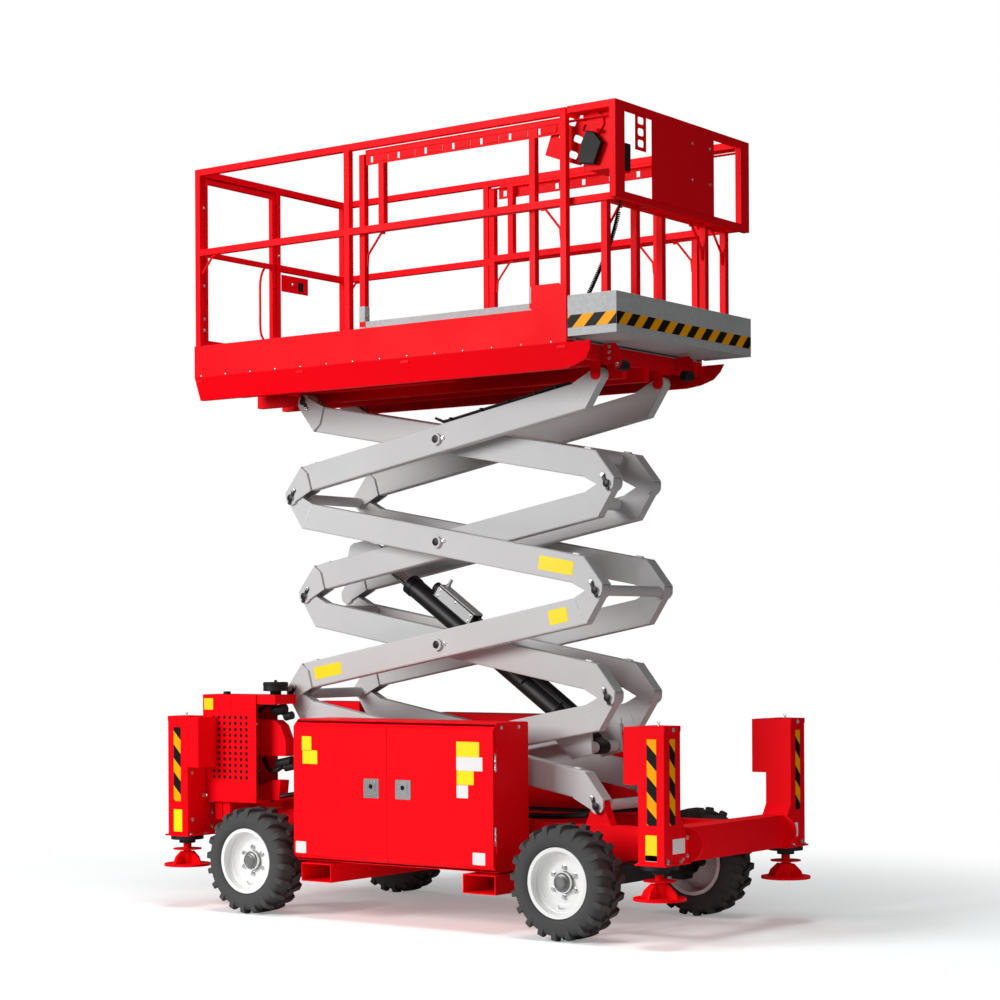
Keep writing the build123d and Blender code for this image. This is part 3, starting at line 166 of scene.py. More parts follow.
class Wear(Enum):
    """What shows on a finish besides its colour."""

    CLEAN = None
    # crystals of the zinc bath, each a little lighter or darker
    SPANGLE = Marks("Voronoi", "Color", 14, 0, 0.0, 1.0, 0.14, "ffffff")
    # dried mud and dust, in clouds
    DUST = Marks("Noise", "Fac", 60, 8, 0.5, 0.75, 0.4, "7a7875")
    # the white bloom of a weld brushed clean
    WELD_CHALK = Marks("Noise", "Fac", 9, 3, 0.42, 0.6, 1.0, "f6f6f4")


@dataclass(frozen=True)
class Coating:
    """A material in Object coordinates, made once."""

    name: str

    def inputs(self, tree: bpy.types.NodeTree, place: bpy.types.NodeSocket) -> dict:
        """Works out what goes into the shader.

        Args:
            tree: The material's node tree.
            place: Object coordinates.

        Returns:
            Shader input to socket or value.
        """
        raise NotImplementedError

    def build(self) -> bpy.types.Material:
        """Makes the material, or hands back the one already made.

        Returns:
            The material, named for what the surface is.
        """
        if self.name in bpy.data.materials:
            return bpy.data.materials[self.name]
        material = bpy.data.materials.new(self.name)
        material.use_nodes = True
        tree = material.node_tree
        place = add(tree, "TexCoord").outputs["Object"]
        plug(tree, tree.nodes["Principled BSDF"], self.inputs(tree, place))
        return material


@dataclass(frozen=True)
class Finish(Coating):
    """Painted, galvanised or moulded surface with its wear and small relief.

    The tone drifts between its two colours by noise of `drift_mm`, and the relief is noise of `grain_mm`.
    Orange peel, cast grain and mould texture are finer in life, and drawn as coarse as they need to show.
    """

    slot: str
    colour: str
    other: str
    roughness: float = 0.32
    grain_mm: float = 2.5
    relief: float = 0.12
    shine: float = 0.3
    metal: float = 0.0
    wear: Wear = Wear.CLEAN
    drift_mm: float = 1000 / 2.2
    bump_mm: float = 0.3

    def inputs(self, tree: bpy.types.NodeTree, place: bpy.types.NodeSocket) -> dict:
        """Drifting tone under its wear, and roughness and relief.

        Args:
            tree: The material's node tree.
            place: Object coordinates.

        Returns:
            Shader input to socket or value.
        """
        noises = [{"Vector": place, "Scale": 1 / (width * MM), "Detail": detail}
                  for width, detail in ((self.drift_mm, 4), (self.grain_mm, 2))]
        drift, grain = (add(tree, "TexNoise", inputs).outputs["Fac"] for inputs in noises)
        share = add(tree, "MapRange", {"Value": drift, "From Min": 0.35, "From Max": 0.7})
        tone = blended(tree, share.outputs[0], self.colour, self.other)
        if self.wear is not Wear.CLEAN:
            marks = self.wear.value
            texture = add(tree, f"Tex{marks.kind}",
                          {"Vector": place, "Scale": 1 / (marks.width_mm * MM), "Detail": marks.detail})
            laid = add(tree, "MapRange", {"Value": texture.outputs[marks.output], "From Min": marks.low,
                                          "From Max": marks.high, "To Max": marks.most})
            tone = blended(tree, laid.outputs[0], tone, marks.colour)
        rough = add(tree, "MapRange", {"Value": drift, "From Min": 0.3, "From Max": 0.7,
                                       "To Min": self.roughness - 0.05, "To Max": self.roughness + 0.08})
        bump = add(tree, "Bump", {"Height": grain, "Strength": self.relief, "Distance": self.bump_mm * MM})
        return {"Base Color": tone, "Roughness": rough.outputs[0], "Normal": bump.outputs[0],
                "Specular IOR Level": self.shine, "Metallic": self.metal}


@dataclass(frozen=True)
class Perforated(Finish):
    """Sheet with a field of punched round holes drawn as painted shade: near a hole's middle the tone turns
    dark.
    """

    # axis, the field's start and end along it, and how many holes
    rows: tuple = (("X", -1.409, -1.129, 7), ("Z", 0.688, 1.043, 11))
    outer_face: float = -0.5185
    hole_mm: float = 10.0
    # painted shade: the colour of the shaded inside of the bay, seen through a hole
    dark: str = "2a1012"

    def inputs(self, tree: bpy.types.NodeTree, place: bpy.types.NodeSocket) -> dict:
        """The plain finish, with painted shade where the squared distance to a hole's middle is below its
        squared radius.

        Args:
            tree: The material's node tree.
            place: Object coordinates.

        Returns:
            Shader input to socket or value.
        """
        made = super().inputs(tree, place)
        split = add(tree, "SeparateXYZ", {0: place})
        limits, squares = [], []
        for axis, start, end, count in self.rows:
            pitch = (end - start) / count
            within = (("ADD", -(start + end) / 2), ("ABSOLUTE", 0.0), ("LESS_THAN", (end - start) / 2))
            square = (("ADD", -start), ("DIVIDE", pitch), ("FRACT", 0.0), ("ADD", -0.5), ("MULTIPLY", pitch),
                      ("POWER", 2.0))
            for chain, kept in ((within, limits), (square, squares)):
                value = split.outputs[axis]
                for operation, other in chain:
                    value = add(tree, "Math", {0: value, 1: other}, operation=operation).outputs[0]
                kept.append(value)
        limits.append(add(tree, "Math", {0: split.outputs["Y"], 1: self.outer_face},
                          operation="LESS_THAN").outputs[0])
        # the holes' painted shade: where a point lies within a hole and on the outer face
        hole = squares[0]
        for operation, other in (("ADD", squares[1]), ("LESS_THAN", (self.hole_mm * MM) ** 2),
                                 *(("MULTIPLY", limit) for limit in limits)):
            hole = add(tree, "Math", {0: hole, 1: other}, operation=operation).outputs[0]
        return made | {"Base Color": blended(tree, hole, made["Base Color"], self.dark)}


@dataclass(frozen=True)
class Stripes(Coating):
    """Yellow and black diagonal tape: bands across the sum of the Object coordinates times `lean`."""

    lean: Point
    period: float

    def inputs(self, tree: bpy.types.NodeTree, place: bpy.types.NodeSocket) -> dict:
        """Black where the fraction of that sum over the period is more than a half.

        Args:
            tree: The material's node tree.
            place: Object coordinates.

        Returns:
            Shader input to socket or value.
        """
        along = add(tree, "VectorMath", {0: place, 1: tuple(c / self.period for c in self.lean)},
                    operation="DOT_PRODUCT").outputs["Value"]
        phase = add(tree, "Math", {0: along}, operation="FRACT").outputs[0]
        band = add(tree, "Math", {0: phase, 1: 0.5}, operation="GREATER_THAN").outputs[0]
        grain = add(tree, "TexNoise", {"Vector": place, "Scale": 1 / (3 * MM)}).outputs["Fac"]
        rough = add(tree, "MapRange", {"Value": grain, "To Min": 0.4, "To Max": 0.55}).outputs[0]
        tone = blended(tree, band, "ffa800", "15140f")
        return {"Base Color": tone, "Roughness": rough, "Specular IOR Level": 0.1}


# baked powder coats and enamels: one even tone, faint orange peel, a soft highlight
RED = Finish("red_powder_coat", "red_paint", "fb0616", "f60515", roughness=0.42, shine=0.05)
# the engine bay's red sheet, its punched holes drawn as painted shade
RED_SHEET_PAINTED_HOLES = Perforated("red_sheet_painted_hole_shade", "red_paint", RED.colour, RED.other, roughness=0.42, shine=0.05)
GREY = Finish("grey_enamel", "grey_paint", "cdcdcd", "c8c8c9", roughness=0.5, shine=0.12)
BLACK = Finish("black_satin_enamel", "black_paint", "1c1c1d", "141415", roughness=0.42)
WHITE = Finish("white_enamel", "white_paint", "eeeeed", "e8e8e7", roughness=0.3, shine=0.25)
# hot-dipped zinc: dull, pale grey and spangled, so it isn't given a mirror's metal
ZINC = Finish("galvanised_steel", "zinc", "b2b3b4", "a9aaab", roughness=0.5, shine=0.2, wear=Wear.SPANGLE)
# electroplated fasteners, a turned casting and a ground rod: metals, from soft sparkle to clear reflections
BRIGHT = Finish("bright_zinc_plate", "zinc", "d8d9da", "c4c6c8", roughness=0.22, metal=0.75)
CAST = Finish("machined_cast_iron", "zinc", "8a8a8a", "6c6c6c", roughness=0.4, metal=0.6)
CHROME = Finish("hard_chrome", "chrome_rod", "e4e5e6", "d9dadb", roughness=0.12, metal=1.0)
# moulded rubber and plastic: dark and nearly matt, the tyres grained and dusty
RUBBER = Finish("tyre_rubber", "tyre_rubber", "4b4b4b", "3d3d3d", roughness=0.8, grain_mm=4, relief=0.3,
                wear=Wear.DUST)
PLASTIC = Finish("black_moulded_plastic", "black_plastic", "1a1a1a", "121212", roughness=0.6)
JACKET = Finish("rubber_cable_jacket", "cable_jacket", "0e0e0e", "0a0a0a", roughness=0.6, shine=0.15)
# painted shade: a near-black disc for the shadowed inside of a keyhole
KEYHOLE_SHADE = Finish("keyhole_painted_shade", "black_paint", "0b0b0b", "070707", roughness=0.9)
# self-adhesive vinyl: flat colour with a dull film over it
YELLOW = Finish("yellow_vinyl_label", "red_paint", "ffe600", "f7dc00", roughness=0.4)
PALE = Finish("white_vinyl_label", "red_paint", "ececea", "e2e2e0", roughness=0.4)
# grey enamel thinned to streaks of white along a weld
CHALK = Finish("brushed_weld", "grey_paint", "c9c9ca", "c2c2c4", roughness=0.6, wear=Wear.WELD_CHALK)


# ------------------------------------------------------------------------------------- surfaces
def turned(profile: Outline, sides: int = 24) -> Surface:
    """Surface of revolution about local Z: (r cos t, r sin t, h) over a grid of profile rows and angles.

    Args:
        profile: Rows of height and radius.
        sides: Steps round.

    Returns:
        Points and faces.
    """
    rows = np.array(profile, float)
    turn = np.arange(sides) * 2 * np.pi / sides
    h, t = np.meshgrid(np.arange(len(rows)), turn, indexing="ij")
    points = np.stack([rows[h, 1] * np.cos(t), rows[h, 1] * np.sin(t), rows[h, 0]], -1).reshape(-1, 3)
    return points, ring_faces(len(rows), sides, True)


def ring_faces(rows: int, columns: int, closed: bool) -> Faces:
    """Quads of a grid of points, rows by columns.

    Args:
        rows: Number of rows.
        columns: Number of columns.
        closed: Whether the last column joins the first.

    Returns:
        Quads as index rows.
    """
    i, j = np.meshgrid(np.arange(rows - 1), np.arange(columns if closed else columns - 1), indexing="ij")
    k = (j + 1) % columns
    quads = np.stack([i * columns + j, i * columns + k, (i + 1) * columns + k, (i + 1) * columns + j], -1)
    return [tuple(q) for q in quads.reshape(-1, 4).tolist()]


def turned_over(faces: Faces) -> Faces:
    """The same faces, looking the other way."""
    return [tuple(reversed(face)) for face in faces]


def plate(outline: Outline, depth: float, edge: float = 0.0) -> Surface:
    """Plate on an outline in local XY, from z = 0 to `depth`, its upper edge drawn in towards the middle.

    Args:
        outline: Corners, counter-clockwise.
        depth: Thickness.
        edge: How far the upper edge is drawn in and down.

    Returns:
        Points and faces.
    """
    flat = np.array(outline, float)
    middle = flat.mean(0)
    away = flat - middle
    drawn = middle + away * (1 - edge / np.maximum(np.linalg.norm(away, axis=1, keepdims=True), 1e-6))
    layers = [(flat, 0.0), (flat, depth - edge), (drawn, depth)]
    points = np.concatenate([np.column_stack([ring, np.full(len(flat), z)]) for ring, z in layers])
    n = len(flat)
    return points, [*ring_faces(3, n, True), tuple(range(2 * n, 3 * n)), tuple(reversed(range(n)))]


def rounded(width: float, height: float, radius: float, steps: int = 4) -> Outline:
    """Rounded rectangle about the origin: quarter arcs of `radius` at its four corners.

    Args:
        width: Along local X.
        height: Along local Y.
        radius: Of the corners.
        steps: Segments of each arc.

    Returns:
        Corners, counter-clockwise.
    """
    corners = []
    for k, (sx, sy) in enumerate(((1, 1), (-1, 1), (-1, -1), (1, -1))):
        for a in np.linspace(k * np.pi / 2, (k + 1) * np.pi / 2, steps + 1):
            corners.append((sx * (width / 2 - radius) + radius * math.cos(a),
                            sy * (height / 2 - radius) + radius * math.sin(a)))
    return corners


def panel(width: float, height: float, radius: float, depth: float, edge: float = 0.0) -> Surface:
    """Plate on a rounded rectangle.

    Args:
        width: Along local X.
        height: Along local Y.
        radius: Of the corners.
        depth: Thickness.
        edge: How far the upper edge is drawn in and down.

    Returns:
        Points and faces.
    """
    return plate(rounded(width, height, radius), depth, edge)


def strip(half: float, low: float, high: float, depth: float, edge: float = 0.0) -> Surface:
    """Plate on a square-cornered rectangle, as wide to both sides of the origin.

    Args:
        half: Half its width, along local X.
        low: Its lower edge, in local Y.
        high: Its upper edge.
        depth: Thickness.
        edge: How far the upper edge is drawn in and down.

    Returns:
        Points and faces.
    """
    return plate([(-half, low), (half, low), (half, high), (-half, high)], depth, edge)


def swept(path: list[Point] | np.ndarray, radius: float | np.ndarray, sides: int = 8) -> Surface:
    """Round tube along a path: p(s) + r (cos t u(s) + sin t v(s)), u and v square to the path.

    Args:
        path: Points of the middle line.
        radius: Of the tube.
        sides: Steps round.

    Returns:
        Points and faces.
    """
    line = np.array(path, float)
    ahead = np.gradient(line, axis=0)
    ahead /= np.linalg.norm(ahead, axis=1, keepdims=True)
    side = np.zeros_like(ahead)
    last = np.array(UP if abs(ahead[0][2]) < 0.9 else AHEAD, float)
    for i, forward in enumerate(ahead):
        last = last - forward * (last @ forward)
        last /= np.linalg.norm(last)
        side[i] = last
    turn = (np.arange(sides) * 2 * np.pi / sides)[None, :, None]
    ring = np.cos(turn) * side[:, None] + np.sin(turn) * np.cross(ahead, side)[:, None]
    n = len(line)
    caps = [tuple(reversed(range(sides))), tuple(range((n - 1) * sides, n * sides))]
    return (line[:, None] + radius * ring).reshape(-1, 3), ring_faces(n, sides, True) + caps


def perforated(outline: Outline, holes: Outline, size: Point, cell: float = 0.002) -> Surface:
    """Sheet in local XY: the cells of a fine grid whose middles lie in the outline and in no rounded hole.

    Args:
        outline: Corners of the sheet.
        holes: Middles of its holes.
        size: Half length, half height and lean in radians of a hole, whose edge is |x/a|^4 + |y/b|^4 = 1.
        cell: Width of a grid cell.

    Returns:
        Points and faces.
    """
    corners = np.array(outline, float)
    x, y = (np.arange(low, high + cell, cell) for low, high in zip(corners.min(0), corners.max(0)))
    gx, gy = np.meshgrid(x[:-1] + cell / 2, y[:-1] + cell / 2, indexing="ij")
    inside = np.zeros(gx.shape, bool)
    for (ax, ay), (bx, by) in zip(corners, np.roll(corners, -1, 0)):
        cut = (ay > gy) != (by > gy)
        inside ^= cut & (gx < ax + (gy - ay) * (bx - ax) / (by - ay if by != ay else 1e-9))
    across, tall, lean = size
    for hx, hy in holes:
        u = (gx - hx) * math.cos(lean) + (gy - hy) * math.sin(lean)
        v = (gy - hy) * math.cos(lean) - (gx - hx) * math.sin(lean)
        inside &= (u / across) ** 4 + (v / tall) ** 4 > 1
    px, py = np.meshgrid(x, y, indexing="ij")
    points = np.stack([px, py, np.zeros_like(px)], -1).reshape(-1, 3)
    i, j = np.nonzero(inside)
    n = len(y)
    faces = np.stack([i * n + j, (i + 1) * n + j, (i + 1) * n + j + 1, i * n + j + 1], -1)
    used, again = np.unique(faces, return_inverse=True)
    return points[used], [tuple(f) for f in again.reshape(-1, 4).tolist()]


def smooth_path(points: list[Point], steps: int = 8) -> np.ndarray:
    """Catmull-Rom line through points.

    Args:
        points: Points it passes.
        steps: Segments between two of them.

    Returns:
        The finer line.
    """
    p = np.array([points[0], *points, points[-1]], float)
    t = np.linspace(0, 1, steps, endpoint=False)[:, None]
    parts = []
    for a, b, c, d in zip(p, p[1:], p[2:], p[3:]):
        square, cube = 2 * a - 5 * b + 4 * c - d, 3 * b - a - 3 * c + d
        parts.append(0.5 * (2 * b + (c - a) * t + square * t**2 + cube * t**3))
    return np.concatenate([*parts, p[-1:]])


def set_at(surface: Surface, origin: Point, z_dir: Point = UP, x_dir: Point = AHEAD) -> Surface:
    """Stands a surface in the machine's frame.

    Args:
        surface: Points and faces in a local frame.
        origin: Where the local origin goes.
        z_dir: The local Z in the machine's frame.
        x_dir: The local X in the machine's frame, less its share along Z.

    Returns:
        Moved points and the same faces.
    """
    z = np.array(z_dir, float)
    z /= np.linalg.norm(z)
    x = np.array(x_dir, float)
    x -= z * (x @ z)
    x /= np.linalg.norm(x)
    return surface[0] @ np.stack([x, np.cross(z, x), z]) + np.array(origin, float), surface[1]


def joined(surfaces: list[Surface]) -> Surface:
    """Many surfaces as one.

    Args:
        surfaces: Points and faces of each.

    Returns:
        All points, and faces with their indices moved on.
    """
    points, faces, start = [], [], 0
    for more, quads in surfaces:
        points.append(more)
        faces += [tuple(i + start for i in face) for face in quads]
        start += len(more)
    return np.concatenate(points), faces


def shown(name: str, data: bpy.types.ID) -> bpy.types.Object:
    """Makes an object of that name from its data and puts it in the scene."""
    made = bpy.data.objects.new(name, data)
    bpy.context.scene.collection.objects.link(made)
    return made


def piece(name: str, surfaces: list[Surface], finish: Coating, body: str,
          sharp: float = 35.0) -> bpy.types.Object:
    """Makes one joined mesh, finished and riding a body.

    Args:
        name: Of the object.
        surfaces: Points and faces of its parts.
        finish: What it is made of.
        body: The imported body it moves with.
        sharp: Edges that turn by more degrees stay sharp.

    Returns:
        The object, at the origin, unturned and unscaled.
    """
    points, faces = joined(surfaces)
    mesh = bpy.data.meshes.new(name)
    mesh.from_pydata(points.tolist(), [], faces)
    mesh.materials.append(finish.build())
    mesh.shade_smooth()
    mesh.set_sharp_from_angle(angle=math.radians(sharp))
    made = shown(name, mesh)
    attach(made, body)
    log.info("%s: %d faces", name, len(faces))
    return made


def bolt(radius: float, head: float = 0.0) -> Surface:
    """Washer and domed hexagon head: a turned washer under a six-sided plate with a drawn edge.

    Args:
        radius: Across the head's corners, halved.
        head: Its height, or 0.7 of its radius.

    Returns:
        Points and faces, standing on z = 0.
    """
    washer = turned([(up * radius, out * radius) for up, out in
                     ((0, 1.35), (0.22, 1.35), (0.26, 1.25), (0.26, 0.01))], 16)
    hexagon = [(radius * math.cos(a), radius * math.sin(a)) for a in np.arange(6) * np.pi / 3]
    return joined([washer, set_at(plate(hexagon, head or 0.7 * radius, 0.2 * radius), (0, 0, 0.24 * radius))])


def bolts_at(radius: float, places: list[Point], z_dir: Point = UP, x_dir: Point = AHEAD) -> list[Surface]:
    """Bolts of one size, all facing one way.

    Args:
        radius: Across a head's corners, halved.
        places: Where they stand.
        z_dir: The way they face.
        x_dir: The way one corner of a head points.

    Returns:
        Points and faces of each.
    """
    return [set_at(bolt(radius), place, z_dir, x_dir) for place in places]


@dataclass
class Machine:
    """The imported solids, their record, and places worked out from its joints."""

    frame: dict
    joints: dict[str, dict] = field(default_factory=dict)

    def __post_init__(self) -> None:
        """Keeps the joints by name."""
        self.joints = {joint["name"]: joint for joint in self.frame["record"]["behaviour"]["joints"]}

    def at(self, name: str) -> np.ndarray:
        """Place of the joint of that name, in metres."""
        return np.array(self.joints[name]["pos_m"], float)

    def dress(self) -> None:
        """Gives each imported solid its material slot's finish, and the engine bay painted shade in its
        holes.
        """
        finishes = {finish.slot: finish for finish in
                    (RED, GREY, ZINC, RUBBER, WHITE, BLACK, CHROME, PLASTIC, JACKET)}
        for part in self.frame["record"]["subparts"]:
            # the engine bay gets the red sheet with painted shade in its holes
            finish = RED_SHEET_PAINTED_HOLES if part["node"] == "engine_bay" else finishes[part["material_slot"]]
            mesh = self.frame["nodes"][part["node"]].data
            mesh.materials.clear()
            mesh.materials.append(finish.build())


# --------------------------------------------------------------------------------------- wheels
@dataclass
class Wheels:
    """Lugged tyres, nuts, hub caps and valves of the four wheels."""

    machine: Machine
    lugs: int = 20
    crown: float = 0.2797
    # out along the axle, then a lug's middle round the tyre there
    sweep: tuple = ((-0.004, -0.019), (0.020, -0.002), (0.040, 0.011), (0.070, 0.018), (0.100, 0.021))
    # out along the axle and radius between the lugs, then the same on a lug
    tread: tuple = ((-0.0040, 0.2580, -0.0040, 0.2580), (-0.0038, 0.2620, -0.0038, 0.2720),
                    (-0.0020, 0.2620, -0.0020, 0.2790), (0.012, 0.2624, 0.012, 0.2797),
                    (0.026, 0.2626, 0.026, 0.2797), (0.040, 0.2624, 0.040, 0.2797),
                    (0.056, 0.2615, 0.056, 0.2795), (0.070, 0.2595, 0.070, 0.2787),
                    (0.080, 0.2560, 0.081, 0.2770), (0.0865, 0.2505, 0.089, 0.2735),
                    (0.0915, 0.2440, 0.0945, 0.2660), (0.0950, 0.2370, 0.0972, 0.2540),
                    (0.0972, 0.2300, 0.0986, 0.2400), (0.0990, 0.2235, 0.0994, 0.2270))
    # out along the axle and radius of the smooth side wall
    wall: tuple = ((0.1002, 0.2160), (0.1004, 0.2060), (0.0992, 0.1970), (0.0972, 0.1915), (0.0966, 0.1905),
                   (0.0935, 0.1830), (0.0890, 0.1765), (0.0810, 0.1728), (0.0805, 0.1600))
    # across a lug from -1 to 1 and whether raised, then steps over the groove to the next
    columns: tuple = ((-1.0, 0), (-0.86, 1), (-0.3, 1), (0.3, 1), (0.86, 1), (1.0, 0))
    groove: int = 3
    disc: float = 0.0224
    nut_circle: float = 0.071

    def half_tyre(self, out: int) -> Surface:
        """One half of the tread and its side wall.

        The angle of a point is that of its lug, plus (t(a) + w c) / R with t the lug's sweep at the
        distance a out, w half its width and c its place across; between lugs it runs on evenly.

        Args:
            out: +1 for the half away from the machine, -1 for the one towards it.

        Returns:
            Points as (round angle, out, radius) turned into local X, Y out and Z, and faces.
        """
        pitch = 2 * math.pi / self.lugs
        across = np.array([c for c, _ in self.columns] + [1.0] * self.groove)
        raised = np.array([r for _, r in self.columns] + [0.0] * self.groove)
        rest = np.array([0.0] * len(self.columns) + [(k + 1) / (self.groove + 1) for k in range(self.groove)])
        rows = np.array([*self.tread, *(row * 2 for row in self.wall)])
        middle = np.interp(rows[:, 0], *np.array(self.sweep).T)[:, None] / self.crown
        wide = np.interp(rows[:, 0], (0.0, 0.1), (0.0165, 0.0175))[:, None] / self.crown
        angle = middle + wide * across + (pitch - 2 * wide) * rest
        # a lug of the outer half lies just behind the lowest point, and the halves are half a pitch apart
        start = -math.pi / 2 - math.atan2(0.037, 0.2775) + (0.0 if out > 0 else pitch / 2)
        turn = (start + np.arange(self.lugs) * pitch)[None, :, None] + angle[:, None, :]
        section = rows[:, None, :2] * (1 - raised)[:, None] + rows[:, None, 2:] * raised[:, None]
        axial, radius = np.moveaxis(np.broadcast_to(section[:, None], (*turn.shape, 2)), -1, 0)
        points = np.stack([radius * np.cos(turn), out * axial, radius * np.sin(turn)], -1).reshape(-1, 3)
        faces = ring_faces(len(rows), self.lugs * len(across), True)
        return points, turned_over(faces) if out < 0 else faces

    def build(self) -> None:
        """Makes and places the tyres and the rims' trim."""
        for end, (side, out) in product(("rear", "front"), (("right", -1), ("left", 1))):
            hub = self.machine.at(f"roll_{end}_{side}")
            halves = []
            for half in (1, -1):
                points, faces = self.half_tyre(half)
                halves.append((points * [1, out, 1] + hub, faces if out > 0 else turned_over(faces)))
            tyre = piece(f"tread_{end}_{side}", halves, RUBBER, f"wheel_{end}_{side}", sharp=40)
            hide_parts(f"tyre_{end}_{side}")
            self.trim(f"wheel_{end}_{side}", hub, out)

    def trim(self, body: str, hub: np.ndarray, out: int) -> None:
        """Nuts, hub cap, rim steps and valve of one wheel.

        Args:
            body: The wheel's body.
            hub: Its middle.
            out: +1 or -1, away from the machine.
        """
        face, out_dir = hub + [0, out * self.disc, 0], (0, out, 0)
        circle = [face + self.nut_circle * np.array([math.cos(a), 0, math.sin(a)])
                  for a in (np.arange(6) + 0.5) * math.pi / 3]
        nuts = [set_at(bolt(0.0105, 0.013), place, out_dir) for place in circle]
        cap = turned([(-0.001, 0.0535), (0.010, 0.0530), (0.022, 0.0475), (0.0285, 0.0375), (0.030, 0.032),
                      (0.042, 0.0310), (0.044, 0.027), (0.0405, 0.022), (0.0405, 0.0005)], 40)
        steps = turned([(0.0005, 0.100), (0.003, 0.113), (0.010, 0.122), (0.013, 0.1275), (0.016, 0.1285),
                        (0.023, 0.1395), (0.026, 0.1405), (0.0275, 0.147), (0.034, 0.1505), (0.052, 0.1535),
                        (0.056, 0.1595), (0.0635, 0.1625), (0.0655, 0.1685), (0.0658, 0.1708)], 72)
        piece(f"hub_{body}", [set_at(cap, face, out_dir)], CAST, body)
        piece(f"nuts_{body}", nuts, BRIGHT, body)
        piece(f"rim_steps_{body}", [set_at(steps, face, out_dir)], WHITE, body)
        stem = smooth_path([face + [x, out * y, z] for x, y, z in
                            ((-0.020, 0.012, -0.128), (-0.016, 0.024, -0.122), (-0.008, 0.038, -0.110))])
        piece(f"valve_{body}", [swept(stem, 0.0035, 8)], BRIGHT, body)


# ----------------------------------------------------------------------------------------- arms
@dataclass
class ArmEnd:
    """One end of a pair of arms: its pin, and u along the body forwards and v square to it, both in XZ.

    A place on it is given from the pin: along the body inwards, and up to the side its body lies on.
    """

    machine: Machine
    kind: str
    level: int
    end: int
    lean: float = math.radians(4.55)

    def __post_init__(self) -> None:
        """Works out the pin and the directions: the line of pins leans by `lean` from the body."""
        middle = self.machine.at(f"cross_joint_{self.level}")
        low = self.machine.at("lift" if self.level == 1 else f"outer_joint_{self.level}")
        x, _, z = (middle - low) * ([1, 1, 1] if self.kind == "outer" else [-1, 1, 1])
        front = math.copysign(1.0, x)
        slope = math.atan2(z, abs(x)) - self.lean
        self.u = np.array([front * math.cos(slope), 0, math.sin(slope)])
        self.v = np.array([-front * math.sin(slope), 0, math.cos(slope)])
        reach = self.end * math.hypot(x, z)
        self.pin = middle + reach * (math.cos(self.lean) * self.u + math.sin(self.lean) * self.v)

    def spot(self, along: float, up: float, y: float) -> np.ndarray:
        """A point given from the pin.

        Args:
            along: Inwards along the body.
            up: To the side that the body lies on.
            y: Across the machine.

        Returns:
            The point.
        """
        at = self.pin - self.end * (along * self.u + up * self.v)
        return np.array([at[0], y, at[2]])


